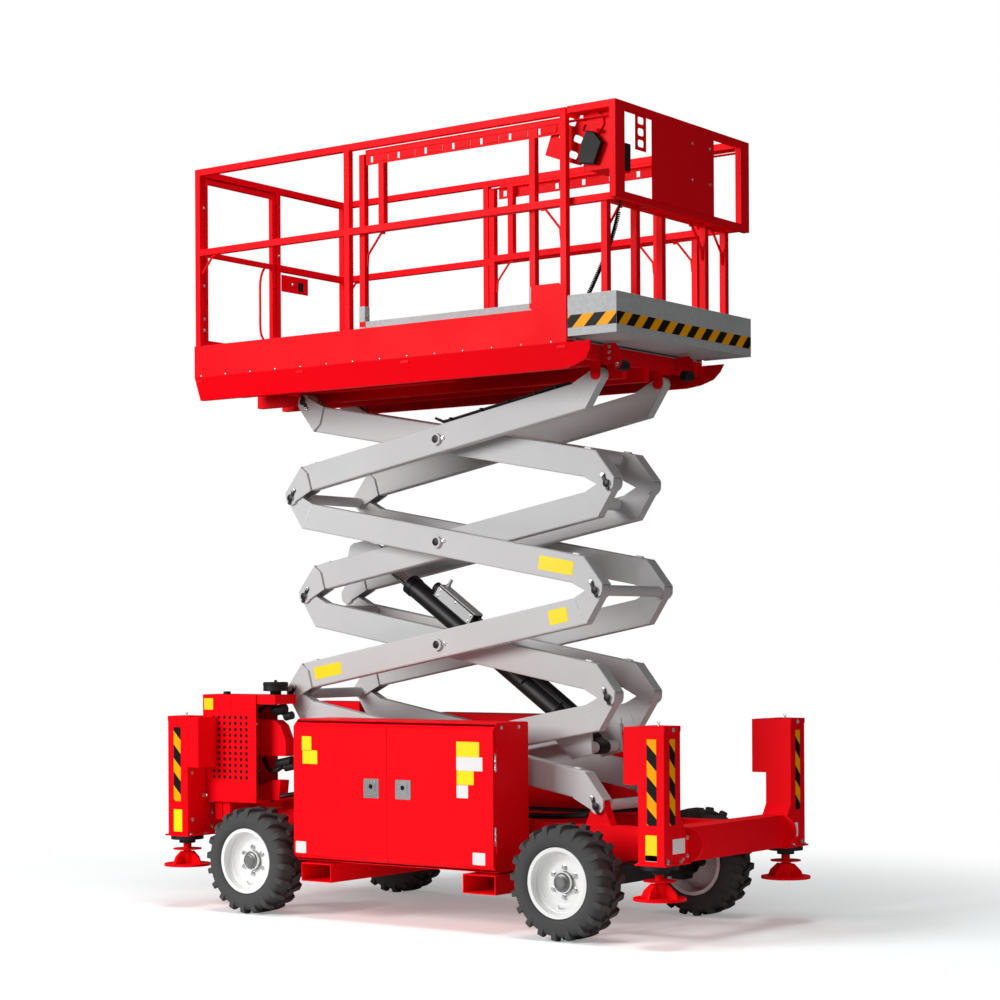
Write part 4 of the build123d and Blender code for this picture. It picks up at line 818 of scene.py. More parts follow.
@dataclass
class Arms:
    """Pins, keepers, weld lines, rest pads, hoses and labels on the scissor's arms."""

    machine: Machine
    # an arm's middle across the machine, and from there the outer faces of a fork's cheek and of its tube
    tracks: tuple = (("outer", 0.285), ("inner", 0.178))
    cheek: float = 0.042
    wall: float = 0.0287
    # corners of the cut where body and pin end meet, along and up from the pin
    mitre: tuple = ((0.096, 0.1515), (0.134, 0.106), (0.143, 0.0105))
    # face of the outer arms' middle rings
    ring_face: float = 0.3152

    def build(self) -> None:
        """Makes each arm's trim as one piece for each finish, then the labels and the hoses."""
        looks = (("pins", BLACK, ""), ("keeper_bolts", BRIGHT, ""), ("weld_lines", GREY, ""),
                 ("brushed_welds", CHALK, ""), ("rest_pads", WHITE, "grey_paint"))
        for (kind, lateral), level in product(self.tracks, range(1, 5)):
            body = f"{kind}_{level}"
            made: dict[str, list[Surface]] = {name: [] for name, _, _ in looks}
            for side in SIDES:
                for end in (ArmEnd(self.machine, kind, level, -1), ArmEnd(self.machine, kind, level, 1)):
                    if end.end == -1 or body == "inner_4":
                        self.fork_trim(end, side, side * (lateral + self.cheek), made)
                    else:
                        made["brushed_welds"].append(self.chalk_line(end, side * (lateral + self.wall), side))
                    if end.end == -1:
                        place = end.spot(0.165, 0.1517, side * lateral)
                        made["rest_pads"].append(set_at(panel(0.040, 0.026, 0.004, 0.007, 0.0015), place,
                                                        end.v, end.u))
                if kind == "outer":
                    self.ring_trim(level, side, made)
            for name, finish, slot in looks:
                if made[name]:
                    piece(f"{name}_{body}", made[name], finish, body)
        self.labels()
        self.hose()

    def fork_trim(self, end: ArmEnd, side: int, cheek: float, made: dict[str, list[Surface]]) -> None:
        """Pin end, keeper with its bolt, and the weld line of one fork cheek.

        Args:
            end: The arm's end.
            side: -1 right, +1 left.
            cheek: The cheek's outer face across the machine.
            made: Takes the surfaces.
        """
        out = (0, side, 0)
        pin = turned([(0, 0.0199), (0.0012, 0.0196), (0.0022, 0.018), (0.0022, 0.0005)], 28)
        low, high = end.spot(-0.012, -0.026, cheek), end.spot(0.030, 0.036, cheek)
        bar = panel(float(np.linalg.norm(high - low)) + 0.016, 0.016, 0.007, 0.009, 0.001)
        made["pins"] += [set_at(pin, end.spot(0, 0, cheek + side * 0.008), out, end.u),
                         set_at(bar, (low + high) / 2, out, high - low)]
        made["keeper_bolts"] += bolts_at(0.008, [high + np.array(out) * 0.009], out, end.u)
        bead = [end.spot(along, up, cheek - side * 0.012) for along, up in self.mitre]
        made["weld_lines"].append(swept(bead, 0.0028, 6))

    def ring_trim(self, level: int, side: int, made: dict[str, list[Surface]]) -> None:
        """Pin cap, lock plate and its bolt on the middle ring of an outer arm.

        Args:
            level: 1 to 4 from below.
            side: -1 right, +1 left.
            made: Takes the surfaces.
        """
        x, _, z = self.machine.at(f"cross_joint_{level}")
        out = (0, side, 0)
        cap = turned([(0, 0.0208), (0.002, 0.0206), (0.003, 0.017), (0.003, 0.0005)], 28)
        made["pins"].append(set_at(cap, (x, side * 0.3205, z), out))
        made["keeper_bolts"] += bolts_at(
            0.008, [(x + 0.040, side * (self.ring_face + 0.0003), z + 0.004)], out)
        made["weld_lines"].append(set_at(panel(0.036, 0.018, 0.006, 0.004, 0.0008),
                                         (x + 0.036, side * self.ring_face, z + 0.003), out))

    def chalk_line(self, end: ArmEnd, y: float, side: int) -> Surface:
        """Brushed weld along the mitre: a thin ribbon whose edges waver by two sines.

        Args:
            end: The arm's end.
            y: Face it lies on.
            side: -1 right, +1 left.

        Returns:
            Points and faces.
        """
        share = np.linspace(0.04, 0.96, 40)
        waver = np.sin(share * 57.0) * 0.0012 + np.sin(share * 131.0) * 0.0009
        (far, high), _, (near, low) = self.mitre
        rows = [end.spot(far + (near - far) * s + edge * (0.0035 + w), high + (low - high) * s,
                         y + side * 0.0006) for edge in SIDES for s, w in zip(share, waver)]
        return np.array(rows), ring_faces(2, len(share), False)

    def labels(self) -> None:
        """Blank yellow labels on both sides of the outer arms."""
        for level, end, along, width, tall in ((2, -1, 0.265, 0.190, 0.066), (2, 1, 0.250, 0.112, 0.074),
                                               (3, -1, 0.262, 0.210, 0.070)):
            arm = ArmEnd(self.machine, "outer", level, end)
            for side in SIDES:
                label = set_at(panel(width, tall, 0.004, 0.0006), arm.spot(along, 0.081, side * 0.3151),
                               (0, side, 0), arm.u)
                piece(f"arm_label_outer_{level}_{end}_{side}", [label], YELLOW, f"outer_{level}")

    def hose(self) -> None:
        """Black hoses with clips along the upper edge of the top near arm, from its middle forwards."""
        arm, edge = ArmEnd(self.machine, "outer", 4, 1), self.mitre[-1][1]
        made = []
        for y, lift in ((-0.278, 0.0085), (-0.294, 0.0125)):
            path = [arm.spot(along, edge - lift - sag, y) for along, sag in
                    ((1.02, 0.030), (0.99, 0.012), (0.95, 0.0), (0.70, 0.0), (0.45, 0.0), (0.30, 0.004),
                     (0.17, 0.0))]
            made.append(swept(smooth_path(path), 0.007))
        clip = panel(0.012, 0.052, 0.003, 0.021, 0.003)
        made += [set_at(clip, arm.spot(along, edge, -0.286), arm.v, arm.u)
                 for along in (0.92, 0.72, 0.55, 0.38, 0.25)]
        piece("arm_hoses", made, PLASTIC, "outer_4")


@dataclass
class LiftCylinder:
    """Fittings, hoses and bolts on the lift cylinder's valve block."""

    machine: Machine

    def __post_init__(self) -> None:
        """Works out the barrel's foot, its axis, and what is above it."""
        self.foot = self.machine.at("barrel_joint")
        self.axis = np.array(self.machine.joints["rod_slide"]["axis"], float)
        self.above = np.array([self.axis[2], 0, -self.axis[0]])

    def spot(self, along: float, y: float, above: float) -> np.ndarray:
        """A point in the barrel's own frame.

        Args:
            along: From its foot along it.
            y: Across the machine.
            above: Above its middle line.

        Returns:
            The point.
        """
        return self.foot + self.axis * along + self.above * above + np.array([0, y, 0])

    def build(self) -> None:
        """Makes the valve block's lids, its bolts and the hoses with their bands."""
        lid = set_at(panel(0.286, 0.070, 0.008, 0.006, 0.0015),
                     self.spot(1.150, 0, 0.116), self.above, self.axis)
        face = set_at(panel(0.276, 0.056, 0.006, 0.0025, 0.0008),
                      self.spot(1.152, -0.0372, 0.083), NEAR, self.axis)
        piece("valve_cover", [lid, face], GREY, "lift_barrel")
        places = [self.spot(along, -0.0396, above) for along, above in
                  ((1.03, 0.066), (1.27, 0.066), (1.03, 0.1), (1.27, 0.1), (1.15, 0.1))]
        bolts = bolts_at(0.005, places, NEAR, self.axis)
        valve = turned([(0, 0.012), (0.02, 0.012), (0.022, 0.009), (0.05, 0.0085), (0.052, 0.0005)], 16)
        bolts.append(set_at(valve, self.spot(1.262, 0, 0.120), self.above, self.axis))
        piece("valve_bolts", bolts, BRIGHT, "lift_barrel")
        hoses = []
        for y, above in ((-0.026, 0.078), (0.0, 0.098), (0.027, 0.078)):
            path = [self.spot(*place) for place in
                    ((1.005, y, above), (0.96, y * 1.2, above + 0.004), (0.86, y, 0.072), (0.6, y, 0.069),
                     (0.35, y, 0.068), (0.16, y, 0.066))]
            hoses.append(swept(smooth_path(path), 0.0105, 10))
        for along in (0.3, 0.55, 0.82):
            hoses.append(swept([self.spot(along, 0.0570 * math.sin(a), 0.0605 * math.cos(a) + 0.012)
                                for a in np.linspace(-1.7, 1.7, 17)], 0.004, 6))
        plug_cap = turned([(0, 0.03), (0.028, 0.03), (0.031, 0.027), (0.031, 0.0005)], 24)
        hoses.append(set_at(plug_cap, self.spot(1.300, 0, 0.083), self.axis, self.above))
        piece("barrel_hoses", hoses, PLASTIC, "lift_barrel")


# ---------------------------------------------------------------------------------- base machine
@dataclass
class Label:
    """Blank vinyl label: centre, size and the way it faces."""

    at: Point
    size: tuple[float, float]
    facing: Point = NEAR
    body: str = "chassis"
    finish: Finish = YELLOW


@dataclass
class Base:
    """Bolts, stripes, labels, latches, hinges, covers and hoses of the chassis."""

    # faces that labels and tape lie on: the sides, and the posts' ends
    side_skin: float = 0.6694
    end_skin: float = 1.5864
    # faces that bolts stand on: the posts' ends, inner sides and tops, and the cabinets' front
    post_outer: float = 1.5862
    post_inner: float = 1.4428
    post_top: float = 1.0322
    cabinet_front: float = 0.6052
    # middle of a post and half its width, and the middle of its tape
    post: tuple[float, float] = (1.5145, 0.5975)
    half: float = 0.0715
    tape_middle: float = 0.775
    # where the cabinets' lids bend down
    lid_edge: float = 0.634

    def build(self) -> None:
        """Makes all of the chassis's trim."""
        self.outriggers()
        self.cabinets()
        self.engine_end()
        self.hoses()
        for k, label in enumerate(self.labels()):
            across = AHEAD if label.facing[1] else ACROSS
            shape = set_at(panel(*label.size, 0.004, 0.0007), label.at, label.facing, across)
            piece(f"label_{k}", [shape], label.finish, label.body)

    def labels(self) -> list[Label]:
        """The table of blank labels.

        Returns:
            Each label.
        """
        doors = (("rear", -0.592, 0.908, 0.064, 0.074, YELLOW), ("rear", -0.570, 0.838, 0.100, 0.070, YELLOW),
                 ("front", 0.452, 0.902, 0.140, 0.075, YELLOW), ("front", 0.436, 0.762, 0.104, 0.068, YELLOW),
                 ("front", 0.462, 0.831, 0.160, 0.068, PALE), ("front", 0.418, 0.694, 0.070, 0.064, PALE),
                 ("rear", -0.634, 0.370, 0.070, 0.060, PALE), ("front", 0.518, 0.368, 0.076, 0.060, PALE))
        made = [Label((x, -self.side_skin, z), (width, tall), NEAR, f"door_right_{door}", finish)
                for door, x, z, width, tall, finish in doors]
        made.append(Label((-1.425, -0.5206, 1.098), (0.066, 0.062)))
        for end, side in product(SIDES, SIDES):
            x, y, out = end * self.post[0], side * self.side_skin, (0, side, 0)
            made.append(Label((x, y, 0.470), (0.062, 0.120), out))
            if end == 1:
                made.append(Label((x, y, 0.4225), (0.062, 0.028), out, finish=PALE))
                made.append(Label((self.end_skin, side * 0.543, 0.474), (0.108, 0.070), AHEAD, finish=PALE))
        return made

    def outriggers(self) -> None:
        """Stripes, caps and bolts of the four posts."""
        bolts, caps, stripes, wings = [], [], [], []
        for end, side in product(SIDES, SIDES):
            x, y = end * self.post[0], side * self.post[1]
            out, on = (0, side, 0), (end, 0, 0)
            for width, place, facing, across in (
                    (0.052, (x + end * 0.004, side * self.side_skin, self.tape_middle), out, (side, 0, 0)),
                    (0.046, (end * self.end_skin, y, self.tape_middle), on, (0, -end, 0))):
                stripes.append(set_at(panel(width, 0.400, 0.001, 0.0006), place, facing, across))
            caps += [set_at(panel(0.147, 0.147, 0.003, 0.003, 0.001), (x, y, self.post_top)),
                     set_at(strip(self.half, -0.024, 0.0, 0.003, 0.0006),
                            (end * self.post_outer, y, self.post_top), on, (0, end, 0))]
            wings += bolts_at(0.006, [(x, y, self.post_top + 0.003)])
            wing = ((0, 1.040), (0.004, 1.046), (0.009, 1.055))
            wings += [swept([(x + lean * off, y, z) for off, z in wing], 0.002, 6) for lean in SIDES]
            outer = [(end * 1.5895, y - side * 0.005, 1.018)]
            outer += [(end * self.post_outer, side * across, up) for across, up in
                      ((0.468, 0.510), (0.468, 0.425), (0.640, 0.410), (0.508, 0.410))]
            inner = [(end * self.post_inner, side * across, up) for across, up in
                     ((0.634, 0.731), (0.546, 0.603), (0.478, 0.508), (0.481, 0.430), (0.633, 0.476))]
            foot = [(x + dx, y + dy, 0.3955) for dx in (-0.076, 0.076) for dy in (-0.05, 0.06)]
            for places, facing in ((outer, on), (inner, (-end, 0, 0)), (foot, UP)):
                bolts += bolts_at(0.0085, places, facing, (0.2, 0.9, 0.3))
        tape = Stripes("hazard_tape_posts", (1.0, 1.0, 1.0), 0.148)
        piece("post_stripes", stripes, tape, "chassis")
        piece("post_caps", caps, RED, "chassis")
        piece("post_bolts", bolts + wings, BRIGHT, "chassis")

    def cabinets(self) -> None:
        """Latches of the doors, and hinges, bolts, lids and straps of the two cabinets."""
        for side, sign in (("right", -1), ("left", 1)):
            out, face = (0, sign, 0), sign * 0.6692
            for door, x in (("rear", -0.160), ("front", 0.046)):
                body = f"door_{side}_{door}"
                lock = turned([(0, 0.012), (0.0015, 0.0118), (0.002, 0.010), (0.002, 0.0005)], 20)
                dish = set_at(panel(0.098, 0.098, 0.006, 0.0035, 0.0012), (x, face, 0.690), out)
                paddle = set_at(panel(0.056, 0.066, 0.008, 0.003, 0.001),
                                (x, face + sign * 0.0035, 0.694), out)
                piece(f"latch_{body}", [dish, paddle], BRIGHT, body)
                # the lock's keyhole is a near-black disc of painted shade
                piece(f"latch_lock_{body}", [set_at(lock, (x, face + sign * 0.0066, 0.700), out)], KEYHOLE_SHADE, body)
            knuckle = turned([(-0.046, 0.0004), (-0.046, 0.0055), (-0.017, 0.0055), (-0.016, 0.0048),
                              (-0.015, 0.0055), (0.015, 0.0055), (0.016, 0.0048), (0.017, 0.0055),
                              (0.046, 0.0055), (0.046, 0.0004)], 16)
            x, upright, bolts = self.cabinet_front, (0, 0.4, 1), []
            for z in (0.480, 0.840):
                bolts.append(set_at(knuckle, (x + 0.0035, sign * 0.655, z)))
                bolts += bolts_at(0.004, [(x, sign * 0.644, z + dz) for dz in (-0.034, 0.0, 0.034)],
                                  AHEAD, upright)
            bolts += bolts_at(0.007, [(x, sign * y, 1.008) for y in (0.600, 0.455)], AHEAD, upright)
            piece(f"cabinet_bolts_{side}", bolts, BRIGHT, "chassis")
            lip = swept([(x, sign * self.lid_edge, 1.0305) for x in (-0.680, 0.603)], 0.0028)
            top = set_at(strip(0.64, -0.128, 0.128, 0.003, 0.001), (-0.039, sign * 0.503, 1.0302))
            piece(f"cabinet_lid_{side}", [lip, top], RED, "chassis")
            straps = [set_at(panel(0.030, 0.135, 0.003, 0.003, 0.0008),
                             (0.6053, sign * self.lid_edge, z), AHEAD, out) for z in (0.425, 0.880)]
            piece(f"cabinet_straps_{side}", straps, RED, "chassis")

    def engine_end(self) -> None:
        """Panel, cap, pre-cleaner and bolts of the engine enclosure, and the dark works in its open end."""
        badge = set_at(panel(0.118, 0.046, 0.003, 0.003, 0.001), (-1.320, -0.5202, 1.106), NEAR)
        piece("bay_plate", [badge], RED, "chassis")
        cap = turned([(0, 0.020), (0.013, 0.020), (0.016, 0.017), (0.016, 0.0005)], 24)
        bowl = turned([(0, 0.0665), (0.004, 0.0672), (0.008, 0.0665), (0.030, 0.0665), (0.033, 0.0690),
                       (0.037, 0.0690), (0.040, 0.0660), (0.046, 0.050), (0.047, 0.0005)], 40)
        nut = turned([(0, 0.008), (0.010, 0.008), (0.012, 0.005), (0.012, 0.0005)], 12)
        piece("bay_caps", [set_at(cap, (-1.335, -0.470, 1.1502)), set_at(bowl, (-1.018, -0.430, 1.1712)),
                           set_at(nut, (-1.018, -0.430, 1.2175))], PLASTIC, "chassis")
        works = []
        for x, y, z, r, long in ((-1.060, -0.400, 1.060, 0.028, 0.09), (-0.985, -0.395, 1.030, 0.022, 0.06),
                                 (-1.050, -0.385, 0.770, 0.030, 0.12), (-0.990, -0.390, 0.755, 0.020, 0.08)):
            can = turned([(0, 0.4 * r), (0.006, r), (long - 0.006, r), (long, 0.5 * r), (long, 0.0004)], 20)
            works.append(set_at(can, (x, y, z), (1, 0, 0.2), ACROSS))
        for line in (((-1.150, -0.38, 0.80), (-1.06, -0.41, 0.735), (-0.975, -0.375, 0.79)),
                     ((-1.170, -0.39, 1.06), (-1.08, -0.42, 1.09), (-0.98, -0.38, 1.035)),
                     ((-1.120, -0.37, 0.57), (-1.02, -0.40, 0.60), (-0.93, -0.36, 0.62))):
            works.append(swept(smooth_path(line, 10), 0.012, 10))
        piece("engine_works", works, BLACK, "chassis")
        places = [(-1.168, -0.4152, 0.845), (-1.168, -0.4152, 0.992), (-1.170, -0.4152, 0.600),
                  (-1.170, -0.390, 0.735)]
        piece("bay_bolts", bolts_at(0.007, places, NEAR), BRIGHT, "chassis")

    def hoses(self) -> None:
        """Black hoses along the floor of the chassis, up to the foot of the cylinder."""
        runs = []
        for y, z in ((-0.235, 0.545), (-0.205, 0.552), (0.215, 0.548)):
            path = smooth_path([(-0.55, y, z), (0.1, y, z), (0.62, y, z + 0.004), (0.86, y + 0.01, z + 0.02)])
            runs.append(swept(path, 0.011))
        piece("chassis_hoses", runs, PLASTIC, "chassis")


# -------------------------------------------------------------------------------------- platform
def stood(surface: Surface, place: Point, flip: int = 1) -> Surface:
    """Stands a surface of local XY up in XZ, with no turn.

    Args:
        surface: Points and faces.
        place: Where the local origin goes.
        flip: +1 if it rises to the left, -1 if to the right.

    Returns:
        Moved points and the same faces.
    """
    return surface[0][:, [0, 2, 1]] * [1, flip, 1] + place, surface[1]


@dataclass
class Platform:
    """Rivets, planks, braces, gate fittings, brackets, bands and controls of the platform and extension."""

    skirt: float = 0.6222
    # along the machine: faces of the gate's posts and of the latch plate on them, and the deck's front edge
    gate_face: float = -1.3808
    latch_face: float = -1.3764
    deck_front: float = 1.3102
    # across it: middles of the feet and of the comb plates, and the deck's side edge
    foot_line: float = 0.560
    comb_line: float = 0.578
    deck_edge: float = 0.6282
    bracket_line: float = 0.3395
    comb_slots: int = 7
    comb_length: float = 1.220
    band_foot: float = 2.926
    band_height: float = 0.060
    latch_height: float = 3.452
    # middle of the brackets' rollers, along the machine and up
    roller: tuple[float, float] = (1.127, 2.772)

    def build(self) -> None:
        """Makes the platform's trim."""
        rivet = turned([(0, 0.006), (0.002, 0.0055), (0.0035, 0.003), (0.0038, 0.0004)], 12)
        rivets = [set_at(rivet, (x, side * self.skirt, 2.868), (0, side, 0))
                  for x in np.arange(-1.37, 0.96, 0.177) for side in SIDES]
        piece("skirt_rivets", rivets, BRIGHT, "platform")
        self.underside()
        self.braces()
        self.gate()
        self.feet()
        self.front()
        self.toe_boards()
        self.front_brackets()
        self.controls()

    def underside(self) -> None:
        """Ribbed planks under the floor, seen from below: lower where |sin| across Y is more than 0.45."""
        y = np.linspace(-0.545, 0.545, 221)
        drop = 0.006 * (np.abs(np.sin(y * np.pi / 0.0545)) > 0.45)
        rows = [np.stack([np.full_like(y, end), y, 2.8735 - drop], -1) for end in (-1.405, 1.0)]
        planks = (np.concatenate(rows), turned_over(ring_faces(2, len(y), False)))
        piece("floor_planks", [planks], ZINC, "platform", sharp=20)

    def braces(self) -> None:
        """Bent flat bars from posts up to the rails they stiffen."""
        ends = {"platform": [(-1.398, -0.600, 3.518, 1, 0), (0.983, -0.600, 3.518, -1, 0),
                             (-1.398, 0.600, 3.518, 1, 0), (0.983, 0.600, 3.518, -1, 0)],
                "extension": [(-0.263, -0.560, 3.522, 1, 0), (-0.263, 0.560, 3.522, 1, 0),
                              (0.773, 0.560, 3.522, -1, 0), (1.200, 0.531, 3.522, 0, -1),
                              (1.200, 0.333, 3.522, 0, -1), (1.200, -0.531, 3.522, 0, 1)]}
        bend = ((0.120, 0.006), (0.095, 0.007), (0.012, 0.105), (0.006, 0.165))
        for body, places in ends.items():
            bars = [swept([(x + dx * t, y + dy * t, z - h) for t, h in bend], 0.0065, 6)
                    for x, y, z, dx, dy in places]
            piece(f"braces_{body}", bars, RED, body)

    def gate(self) -> None:
        """Bent handle, latch plate with its black square, and hinge bolts at the rear end."""
        bend = ((-0.048, 3.545), (-0.09, 3.51), (-0.116, 3.44), (-0.118, 3.30), (-0.116, 3.17), (-0.09, 3.12),
                (-0.048, 3.09))
        path = smooth_path([(-1.398, y, z) for y, z in bend], 6)
        piece("gate_handle", [swept(path, 0.0065)], RED, "gate")
        latch = set_at(panel(0.225, 0.094, 0.004, 0.004, 0.001),
                       (-1.3805, 0.152, self.latch_height), AHEAD, ACROSS)
        piece("latch_plate", [latch], RED, "platform")
        square = set_at(panel(0.044, 0.050, 0.004, 0.002, 0.0006),
                        (self.latch_face, 0.200, 3.446), AHEAD, ACROSS)
        piece("latch_square", [square], PLASTIC, "platform")
        places = [(self.gate_face, -0.585, z) for z in (3.12, 3.18, 3.36, 3.78)]
        places += [(self.gate_face, 0.020, z) for z in (3.06, 3.60)]
        bolts = bolts_at(0.007, [(self.latch_face, 0.128, self.latch_height)], AHEAD, ACROSS)
        bolts += bolts_at(0.006, places, AHEAD, ACROSS)
        piece("gate_bolts", bolts, BRIGHT, "platform")

    def toe_boards(self) -> None:
        """Galvanised strips between the feet, tongues in the comb plates and the skirt's raised ends."""
        strips, tongues, ends = [], [], []
        pitch = self.comb_length / self.comb_slots
        for side in SIDES:
            out, back = (0, side, 0), (-side, 0, 0)
            strips.append(set_at(strip(0.517, -0.021, 0.021, 0.003, 0.0006),
                                 (0.255, side * 0.572, 3.051), out, back))
            tongues += [set_at(panel(0.096, 0.033, 0.003, 0.004, 0.0008),
                               (-0.240 + pitch * (k + 0.5), side * self.comb_line, 3.8975), out, back)
                        for k in range(self.comb_slots)]
            tongues.append(set_at(strip(self.comb_length / 2, -0.014, 0.014, 0.004, 0.0006),
                                  (0.360, side * self.comb_line, 3.9335), out, back))
            end = plate([(-0.088, -0.060), (0.088, -0.060), (0.088, 0.048), (0.076, 0.060), (-0.088, 0.060)],
                        0.004, 0.001)
            ends.append(set_at(end, (0.897, side * 0.6125, 3.089), out))
        piece("toe_strips", strips, ZINC, "extension")
        piece("comb_tongues", tongues, RED, "extension")
        piece("skirt_ends", ends, RED, "platform")

    def front_brackets(self) -> None:
        """Roller brackets under the front of the floor, each with its bolts and a black roller."""
        plates, bolts, rollers = [], [], []
        outline = [(0.008, -0.046), (0.060, -0.126), (0.092, -0.122), (0.103, -0.098), (0.096, -0.040),
                   (0.068, 0.0), (0.0, 0.0)]
        (x, z), thick = self.roller, 0.006
        for side in SIDES:
            out, y = (0, side, 0), side * self.bracket_line
            points, faces = stood(plate(outline, thick, 0.001), (1.047, y, 2.878), side)
            plates.append((points, faces if side < 0 else turned_over(faces)))
            bolts += bolts_at(0.0075, [(1.082, y + side * thick, up) for up in (2.862, 2.834, 2.806)], out)
            bolts += bolts_at(0.009, [(x, y + side * thick, z)], out)
            roller = turned([(0, 0.004), (0, 0.022), (0.004, 0.026), (0.066, 0.026), (0.070, 0.022),
                             (0.070, 0.004)], 28)
            rollers.append(set_at(roller, (x, y - side * 0.004, z), (0, -side, 0)))
        piece("roller_brackets", plates, RED, "platform")
        piece("roller_bracket_bolts", bolts, BRIGHT, "platform")
        piece("bracket_rollers", rollers, PLASTIC, "platform")

    def feet(self) -> None:
        """Galvanised sockets with bolts round the feet of the extension's posts."""
        sockets, bolts, collars = [], [], []
        for x, side in product((-0.280, 0.790), SIDES):
            y = side * self.foot_line
            sockets += [set_at(panel(0.040, 0.040, 0.004, height, 0.001), (x, y, z))
                        for z, height in ((2.909, 0.136), (3.072, 0.078))]
            collars.append(set_at(panel(0.0385, 0.0385, 0.004, 0.027, 0.0005), (x, y, 3.045)))
            bolts += bolts_at(0.007, [(x + 0.020, y, z) for z in (3.02, 3.10)], AHEAD, ACROSS)
        piece("post_sockets", sockets, ZINC, "extension")
        piece("post_socket_collars", collars, RED, "extension")
        piece("post_socket_bolts", bolts, BRIGHT, "extension")

    def front(self) -> None:
        """Hazard band, panel bolts and the lip round the extension's deck."""
        tape = Stripes("hazard_tape_deck", (-1.0, -1.0, 1.0), 0.135)
        bands = [set_at(strip(0.627, 0, self.band_height, 0.0006),
                        (self.deck_front, 0, self.band_foot), AHEAD, ACROSS)]
        for side, low in ((-1, 0), (1, -self.band_height)):
            band = strip(0.138, low, low + self.band_height, 0.0006)
            bands.append(set_at(band, (1.171, side * self.deck_edge, self.band_foot), (0, side, 0)))
        piece("deck_band", bands, tape, "extension")
        places = [(self.deck_front, y, z) for y in (0.060, 0.228) for z in (3.886, 3.706)]
        piece("panel_bolts", bolts_at(0.0055, places, AHEAD, ACROSS), BRIGHT, "extension")
        corners = ((1.035, -0.6262), (1.308, -0.6262), (1.308, 0.6262), (1.035, 0.6262))
        lip = swept([(x, y, 3.0785) for x, y in corners], 0.003, 6)
        piece("deck_lip", [lip], ZINC, "extension")

    def controls(self) -> None:
        """Joystick and buttons on the control box, its punched holder, and the black case beside it."""
        low, high = (np.array(corner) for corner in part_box("control_box"))
        mid = (low + high) / 2
        stick = turned([(0, 0.024), (0.004, 0.022), (0.018, 0.012), (0.030, 0.006), (0.048, 0.0055),
                        (0.050, 0.010), (0.078, 0.012), (0.086, 0.008), (0.087, 0.0005)])
        knob = turned([(0, 0.009), (0.007, 0.009), (0.009, 0.007), (0.009, 0.0004)], 16)
        parts = [set_at(stick, (mid[0] - 0.02, mid[1] - 0.02, high[2]))]
        parts += [set_at(knob, (mid[0] + dx, mid[1] + dy, high[2]))
                  for dx, dy in ((0.03, -0.04), (0.03, 0.0), (0.03, 0.04), (-0.03, 0.045))]
        piece("control_stick", parts, PLASTIC, "extension")
        outline = [(0.986, 3.978), (1.125, 3.980), (1.190, 3.930), (1.192, 3.890), (1.062, 3.709),
                   (0.943, 3.751), (0.852, 3.786), (0.890, 3.883), (0.972, 3.972)]
        holes = [(1.082, 3.940), (1.010, 3.925), (1.101, 3.880), (0.960, 3.862), (1.046, 3.838),
                 (1.017, 3.766)]
        sheet = perforated(outline, holes, (0.026, 0.017, -0.45))
        piece("holder_plate", [stood(sheet, (0, y, 0)) for y in (-0.549, -0.552)], RED, "extension")
        case = plate([(1.070, 3.800), (1.062, 3.716), (1.150, 3.702), (1.196, 3.800), (1.150, 3.858),
                      (1.105, 3.868)], 0.024, 0.006)
        piece("control_case", [stood(case, (0, -0.5525, 0), -1)], PLASTIC, "extension")
        cap = turned([(0, 0.010), (0.008, 0.010), (0.010, 0.013), (0.016, 0.012), (0.018, 0.008),
                      (0.018, 0.0005)], 20)
        piece("case_knob", [set_at(cap, (1.168, -0.5665, 3.852), (0.3, -0.3, 1))], RED, "extension")
        corners = [(-0.385, 3.790), (-0.285, 3.790), (-0.285, 3.980), (-0.385, 3.980)]
        slotted = perforated(corners, [(-0.335, z) for z in (3.935, 3.880, 3.825)], (0.024, 0.018, 0.0))
        piece("front_bracket_plate", [set_at(slotted, (1.262, 0, 0), AHEAD, ACROSS)], RED, "extension")
        stop = turned([(0, 0.013), (0.010, 0.013), (0.014, 0.018), (0.020, 0.018), (0.023, 0.014),
                       (0.023, 0.0005)])
        piece("stop_button", [set_at(stop, (mid[0] - 0.035, mid[1] - 0.045, high[2]))], RED, "extension")


